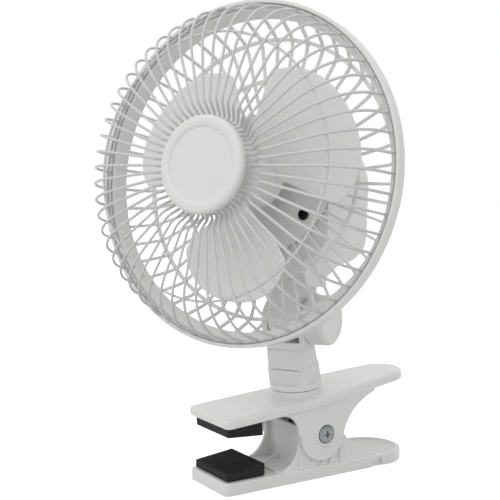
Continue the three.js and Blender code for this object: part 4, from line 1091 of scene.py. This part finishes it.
def tilt_knob():
    """Plain round clamping knob, its end face slightly dished."""
    r, length = KNOB_RADIUS, KNOB_LENGTH
    profile = [
        (INSERT_RADIUS + GAP, 0), (r - 0.6, 0), (r, 0.6), (r, length - 2.2),
        *arc(r - KNOB_EDGE, length - KNOB_EDGE, KNOB_EDGE, 5, 90, 8), (r - 4.6, length - 0.1),
        (r - 5.6, length - 0.5), (0, length - 0.2),
    ]
    pocket_end = INSERT_LENGTH + 3 * GAP
    body = lathe([(0, pocket_end), (INSERT_RADIUS + GAP, pocket_end), *profile], 96)
    shape = along_x(shifted(body, y=TILT_HEIGHT, z=FORK_HALF + GAP))
    show("tilt_knob_body", shape, NECK, "tilt_knob", "white_plastic")


# --- Head: guards ---


def rim():
    """The rear guard's front ring: lip, groove for the wires and the bowl that slopes inward."""
    lip = RIM_RADIUS - RIM_LIP
    ledge = lip - GROOVE_WIDTH
    profile = [
        (lip, -GROOVE_DEPTH), (ledge, -GROOVE_DEPTH), (BOWL_RADIUS, -BOWL_DEPTH + 1.4),
        (BOWL_RADIUS, -BOWL_DEPTH), (RIM_BACK_RADIUS, -BOWL_DEPTH), (RIM_RADIUS, -RIM_DEPTH),
        (RIM_RADIUS, 0), (lip, 0),
    ]
    return lathe(eased(profile, 0.5, 3, loop=True), 192, loop=True)


def rear_rib():
    """One flat rib from the rim over the two rings to the centre plate."""
    start = ((BOWL_RADIUS + RIM_BACK_RADIUS) / 2, -BOWL_DEPTH + 0.6)
    end = (PLATE_RADIUS - 1, -PLATE_DEPTH + PLATE_THICKNESS / 2)
    line = eased([start, OUTER_RING, end], 6, 8)
    section = rounded_box_outline(RIB_THICKNESS / 2, RIB_WIDTH / 2, 0.4, 2)
    return sweep([(r, 0, s) for r, s in line], section, Vector((0, 1, 0)))


def screw_places():
    across, up = polar(SCREW_CIRCLE, SCREW_ANGLE)
    return [(side * across, level * up) for side in (1, -1) for level in (1, -1)]


def flat_hoop(ring):
    radius, height = ring
    half, thick = RING_WIDTH / 2, RIB_THICKNESS / 2
    return tube(radius + half, radius - half, height - thick, height + thick, 0.4, 144)


def rear_guard():
    rib = rear_rib()
    ribs = [turned(rib, (i + 0.5) * 360 / REAR_RIBS) for i in range(REAR_RIBS)]
    disc = tube(PLATE_RADIUS, BEARING_BOSS + 2 * GAP, -PLATE_DEPTH, PLATE_FRONT, 0.5, 96)
    hole = rod(SCREW_RADIUS + GAP, -PLATE_DEPTH - 1, PLATE_FRONT + 1, CUT_EDGE)
    holes = [shifted(hole, x, y) for x, y in screw_places()]
    shape = joined([rim(), *ribs, flat_hoop(OUTER_RING), flat_hoop(MIDDLE_RING), carved(disc, holes)])
    show("rear_guard_moulding", shape, FAN, "rear_guard", "white_plastic")


def guard_screws():
    """Blackened pan screws that hold the rear guard to the motor."""
    r, h = SCREW_HEAD, SCREW_HEAD_HEIGHT
    dome = eased([(0, 0), (r, 0), (r, h * 0.5), (r * 0.75, h * 0.9), (0, h)], 0.5, 3)
    head = carved(lathe(dome, 40), cross_slot(SCREW_CROSS, h))
    screw = shifted(joined([head, rod(SCREW_RADIUS, -SCREW_LENGTH, 0.3)]), z=PLATE_FRONT + GAP)
    for i, (x, y) in enumerate(screw_places()):
        node = f"guard_screw_{i + 1}"
        show(f"{node}_pan", shifted(screw, x, y), FAN, node, "black_steel", sharp=30)


def wire_line(phase):
    """Centre line of a front wire: clamped end, dip beside the cap, straight run, shoulder, seat."""
    dip = WIRE_PLANE - KINK_DEPTH
    start = WIRE_REACH - SHOULDER_RADIUS
    kink = [(WIRE_CLAMPED, WIRE_PLANE), (DIP_START, dip), (DIP_END, dip), (KINK_END, WIRE_PLANE)]
    side = eased([(WIRE_INNER, WIRE_PLANE), *kink, (start, WIRE_PLANE)], 2, 5)
    side += arc(start, WIRE_PLANE - SHOULDER_RADIUS, SHOULDER_RADIUS, 90, 8, 16)[1:]
    side.append((WIRE_SEAT, -WIRE_SEAT_DEPTH))
    return [(*polar(r, phase), s) for r, s in side]


def front_guard():
    section = round_section(WIRE_RADIUS)
    wires = []
    for i in range(WIRE_COUNT):
        phase = WIRE_PHASE + i * 360 / WIRE_COUNT
        around = Vector((*polar(1, phase + 90), 0))
        wires.append(sweep(wire_line(phase), section, around))
    behind = WIRE_PLANE - SHOULDER_RING_SET
    hoops = [
        hoop(WIRE_INNER, WIRE_PLANE, WIRE_RADIUS, 64),
        hoop(SHOULDER_RING, behind, SHOULDER_RING_RADIUS, 160),
        hoop(WIRE_SEAT, -WIRE_SEAT_DEPTH, WIRE_RADIUS, 192),
    ]
    show("front_guard_wires", joined(wires + hoops), FAN, "front_guard", "coated_wire", sharp=60)


def guard_cap():
    """Cap over the wires' inner ends: rounded edge, raised border and a flat bare face."""
    back = WIRE_PLANE + WIRE_RADIUS + GAP
    step, border = CAP_STEP_RADIUS, CAP_FACE + CAP_STEP
    rim_inside, roof = CAP_RADIUS - CAP_SKIN, CAP_FACE - CAP_SKIN
    boss_foot = WIRE_PLANE - WIRE_RADIUS + GAP
    outside = [
        (0, CAP_FACE), (step - 0.6, CAP_FACE),
        *curve((step, CAP_FACE), (step + 0.6, border), (step + 3, border), 6),
        *arc(CAP_RADIUS - CAP_EDGE, border - CAP_EDGE, CAP_EDGE, 90, 0, 10), (CAP_RADIUS, back),
    ]
    inside = [
        (rim_inside, back), (rim_inside - 1, roof), (CAP_BOSS, roof), (CAP_BOSS, boss_foot),
        (CAP_SCREW + GAP, boss_foot), (CAP_SCREW + GAP, roof), (0, roof),
    ]
    show("guard_cap_shell", lathe(outside + inside, 128), FAN, "guard_cap", "white_plastic", sharp=25)


# --- Head: blades ---


def blade_point(u, v, side):
    """A point of a blade: u from hub to tip, v from edge to edge, side 1 in front and -1 behind."""
    root = HUB_RADIUS - 1.5
    tip = BLADE_RADIUS * (1 - BLADE_TIP_CURVE * abs(v) ** 3)
    radius = root + (tip - root) * u
    spread = BLADE_ROOT_SPREAD + (BLADE_SPREAD - BLADE_ROOT_SPREAD) * math.sin(u * math.pi * 0.65)
    middle = (BLADE_FRONT + BLADE_BACK) / 2
    swing = (BLADE_FRONT - BLADE_BACK) / 2 - BLADE_THICKNESS / 2
    camber = BLADE_CAMBER * (1 - v * v)
    thick = BLADE_THICKNESS / 2 * edge_share(abs(v)) * edge_share(u)
    height = middle + swing * v * (1.05 - 0.2 * u) - camber + side * thick
    return (*polar(radius, spread * v), height)


def edge_share(place):
    """Thickness at a place across a blade, as a share of the full one. The edges round off."""
    over = max(0.0, (place - (1 - BLADE_EDGE)) / BLADE_EDGE)
    return math.sqrt(max(0.0, 1 - over * over))


def spaced(count):
    """Places from -1 to 1 that lie closer together near both ends."""
    even = [-1 + 2 * i / count for i in range(count + 1)]
    return [math.sin(p * math.pi / 2) for p in even]


def blade():
    across = spaced(36)
    along = [(p + 1) / 2 for p in spaced(36)]
    along = [u for u in along if u > 0.02]
    rows = []
    for u in [0, *along]:
        front = [blade_point(u, v, 1) for v in across]
        back = [blade_point(u, v, -1) for v in across[-2:0:-1]]
        rows.append(front + back)
    return loft(rows)


def fan_blades():
    one = blade()
    wings = [turned(one, BLADE_PHASE + i * 360 / BLADES) for i in range(BLADES)]
    bore = SHAFT_RADIUS + GAP
    inner = HUB_RADIUS - HUB_SKIN
    hub_profile = [
        (bore, HUB_BACK), (HUB_BOSS, HUB_BACK), (HUB_BOSS, HUB_FRONT - HUB_EDGE),
        (inner, HUB_FRONT - HUB_EDGE), (inner, HUB_BACK), (HUB_RADIUS, HUB_BACK),
        (HUB_RADIUS, HUB_FRONT - HUB_EDGE), (HUB_RADIUS - HUB_EDGE, HUB_FRONT), (bore, HUB_FRONT),
    ]
    hub = lathe(eased(hub_profile, 0.6, 3, loop=True), 96, loop=True)
    show("blade_wheel", joined([hub, *wings]), FAN, "fan_blades", "blade_plastic", sharp=35)


def blade_nut():
    """Round nut with ribs for the fingers."""
    start = HUB_FRONT + GAP
    bore = SHAFT_RADIUS + GAP
    end = start + NUT_LENGTH
    profile = [
        (0, start + NUT_LENGTH * 0.75), (bore, start + NUT_LENGTH * 0.75), (bore, start),
        (NUT_RADIUS - 0.5, start), (NUT_RADIUS - 0.5, start + NUT_LENGTH * 0.5),
        (NUT_RADIUS * 0.6, end), (0, end),
    ]
    body = lathe(profile, 48)
    rib = block((NUT_RADIUS - 1, -0.5, start), (NUT_RADIUS, 0.5, start + NUT_LENGTH * 0.5), 0.2)
    ribs = [turned(rib, i * 30) for i in range(12)]
    show("blade_nut_body", joined([body, *ribs]), FAN, "blade_nut", "inner_plastic")


# --- Head: motor housing ---


def housing_front_outline():
    """The housing seen from the front: drum, shoulders, stalk."""
    foot = -STALK_START - 6
    shoulder = (SHOULDER_PLACE, -SHOULDER_FALL)
    right = [
        (STALK_HALF, foot),
        *curve((STALK_HALF, -STALK_START), (STALK_HALF + 1, -STALK_START + 8), shoulder, 10),
        *curve(shoulder, (HOUSING_RADIUS, -SHOULDER_BEND), (HOUSING_RADIUS, -HOUSING_STRAIGHT), 10)[1:],
        *arc(0, 0, HOUSING_RADIUS, 0, 90, 36),
    ]
    return right + [(-x, y) for x, y in reversed(right[:-1])]


def housing_side_outline():
    """The housing from the side, as (height, depth): deep at the drum, drawn in to the stalk below."""
    face, rear = HOUSING_FACE, HOUSING_BACK
    top = HOUSING_RADIUS + 1
    low = -STALK_START - 7
    front = -RIM_FORWARD + STALK_HALF_DEPTH
    back = -RIM_FORWARD - STALK_HALF_DEPTH
    return [
        (top, face),
        *curve((-HOUSING_STRAIGHT - 8, face), (-STALK_START + 4, face), (-STALK_START, front), 12),
        (low, front), (low, back),
        *curve((-STALK_START, back), (-STALK_START + 8, rear), (-HOUSING_STRAIGHT, rear), 12),
        (top, rear),
    ]


def housing_tongue():
    """The tongue that hangs between the fork's cheeks."""
    end = -STALK_START - 4
    outline = [
        (end, -RIM_FORWARD - FORK_RADIUS),
        *arc(-AXIS_HEIGHT, -RIM_FORWARD, FORK_RADIUS, -90, -270, 32),
        (end, -RIM_FORWARD + FORK_RADIUS),
    ]
    body = along_x(plate(outline, -TONGUE_HALF, TONGUE_HALF, 0.8))
    bore = rod(TILT_BOLT_RADIUS + GAP, -FAR, FAR)
    return carved(body, [along_x(shifted(bore, -AXIS_HEIGHT, -RIM_FORWARD))])


def housing_drum():
    drum = plate(housing_front_outline(), HOUSING_BACK, HOUSING_FACE + 2 * HOUSING_EDGE, HOUSING_EDGE)
    side = along_x(plate(housing_side_outline(), -HOUSING_RADIUS - 1, HOUSING_RADIUS + 1, CUT_EDGE))
    outer = carved(drum, [side], "INTERSECT")
    hollow = rod(HOUSING_RADIUS - HOUSING_SKIN, HOUSING_INSIDE, 10, 0.5, 72)
    holes = [
        shifted(rod(radius + GAP, HOUSING_BACK - 1, HOUSING_INSIDE + 1, CUT_EDGE), y=height)
        for radius, height in ((STEM_RADIUS, SWITCH_HEIGHT), (GLAND_RADIUS, GLAND_HEIGHT))
    ]
    return carved(outer, [hollow, *holes])


def motor_housing():
    end = HOUSING_INSIDE + BEARING_BOSS_LENGTH
    boss = tube(BEARING_BOSS, BEARING_BORE, HOUSING_INSIDE - 1, end, 0.3, 48)
    shape = joined([housing_drum(), housing_tongue(), boss])
    show("motor_housing_shell", shape, FAN, "motor_housing", "white_plastic", 0.5, 35)


def speed_dial():
    """Rear switch knob: a disc with a finger grip across it."""
    front = HOUSING_BACK - GAP
    foot = front - DIAL_LENGTH * 0.45
    disc = eased([(0, foot), (DIAL_RADIUS, foot), (DIAL_RADIUS, front), (0, front)], 1.0, 4)
    grip = block(
        (-DIAL_GRIP, -DIAL_RADIUS + 0.6, front - DIAL_LENGTH),
        (DIAL_GRIP, DIAL_RADIUS - 0.6, front - 1), 0.7,
    )
    bore = rod(STEM_RADIUS + GAP, HOUSING_BACK - DIAL_LENGTH * 0.6, front + 1, CUT_EDGE)
    shape = shifted(joined([carved(lathe(disc, 72), [bore]), carved(grip, [bore])]), y=SWITCH_HEIGHT)
    show("speed_dial", shape, FAN, "speed_knob", "white_plastic")


def cord_gland():
    start = HOUSING_BACK - GAP
    end = HOUSING_INSIDE + 2
    profile = [
        (GLAND_BORE, start - 2), (GLAND_FLANGE, start - 2), (GLAND_FLANGE, start),
        (GLAND_RADIUS, start), (GLAND_RADIUS, end), (GLAND_BORE, end),
    ]
    body = lathe(eased(profile, 0.4, 3, loop=True), 48, loop=True)
    show("cord_gland_bush", shifted(body, y=GLAND_HEIGHT), FAN, "cord_gland", "inner_plastic")


# --- Studio ---


def white_in_view(tree, lit, seen, output):
    """Puts what the camera and mirrors see beside what lights the object."""
    path = added(tree, "LightPath")
    either = path.outputs["Is Camera Ray"]
    for other in ("Is Glossy Ray", "Is Transmission Ray"):
        most = added(tree, "Math")
        most.operation = "MAXIMUM"
        tree.links.new(either, most.inputs[0])
        tree.links.new(path.outputs[other], most.inputs[1])
        either = most.outputs["Value"]
    choice = added(tree, "MixShader")
    tree.links.new(either, choice.inputs["Fac"])
    tree.links.new(lit, choice.inputs[1])
    tree.links.new(seen, choice.inputs[2])
    tree.links.new(choice.outputs["Shader"], output.inputs["Surface"])


def floor():
    """A white floor, which the camera sees as nearly white with a faint shadow."""
    bpy.ops.mesh.primitive_plane_add(size=8, location=(0, 0, -0.0002))
    ground = bpy.context.object
    ground.name = "studio_floor"
    made = bpy.data.materials.new("studio_floor")
    made.use_nodes = True
    tree = made.node_tree
    surface = tree.nodes["Principled BSDF"]
    setting(surface, Base_Color=(0.6, 0.6, 0.6, 1), Roughness=0.8, Specular_IOR_Level=0.1)
    glow = added(tree, "Emission", Strength=FLOOR_GLOW)
    both = added(tree, "AddShader")
    tree.links.new(surface.outputs["BSDF"], both.inputs[0])
    tree.links.new(glow.outputs["Emission"], both.inputs[1])
    output = tree.nodes["Material Output"]
    white_in_view(tree, surface.outputs["BSDF"], both.outputs["Shader"], output)
    ground.data.materials.append(made)


def world():
    """White behind the object, and an even soft light from all round."""
    made = bpy.data.worlds.new("studio")
    bpy.context.scene.world = made
    made.use_nodes = True
    tree = made.node_tree
    white = (1, 1, 1, 1)
    soft = setting(tree.nodes["Background"], Color=white, Strength=WORLD_LIGHT)
    seen = added(tree, "Background", Color=white)
    output = tree.nodes["World Output"]
    white_in_view(tree, soft.outputs["Background"], seen.outputs["Background"], output)


def softbox(name, location, size, power):
    """A square area lamp that faces the fan."""
    lamp = bpy.data.lights.new(name, "AREA")
    lamp.size = size
    lamp.energy = power
    holder = linked(bpy.data.objects.new(name, lamp))
    holder.location = location
    aim = Vector((0, -0.03, 0.13)) - Vector(location)
    holder.rotation_euler = aim.to_track_quat("-Z", "Y").to_euler()


def camera():
    seen = bpy.data.cameras.new("photo_view")
    seen.lens = LENS
    seen.sensor_width = 36
    holder = linked(bpy.data.objects.new("photo_view", seen))
    holder.location = EYE
    holder.rotation_euler = (math.radians(90 + EYE_PITCH), 0, math.radians(EYE_HEADING))
    bpy.context.scene.camera = holder


# --- Making ---

camera()
world()
floor()
softbox("key", (0.35, -0.9, 0.75), 0.6, KEY_LIGHT)
softbox("top", (-0.2, 0.1, 1.1), 0.8, TOP_LIGHT)
bpy.context.scene.view_settings.view_transform = "Standard"

lower_jaw()
upper_lever()
pads()
pivot_bolt()
torsion_spring()
neck_post()
tilt_knob()
rear_guard()
guard_screws()
front_guard()
guard_cap()
fan_blades()
blade_nut()
motor_housing()
speed_dial()
cord_gland()

KEPT = (
    "pivot_nut", "pivot_sleeve", "swivel_screw", "swivel_washer", "tilt_bolt", "knob_insert",
    "cap_clamp", "cap_screw", "motor_front_plate", "front_bearing", "rear_bearing", "stator",
    "switch_body", "motor_shaft", "rotor_core", *[f"winding_{i}" for i in (1, 2, 3, 4)],
)
for kept in KEPT:
    dress(kept)
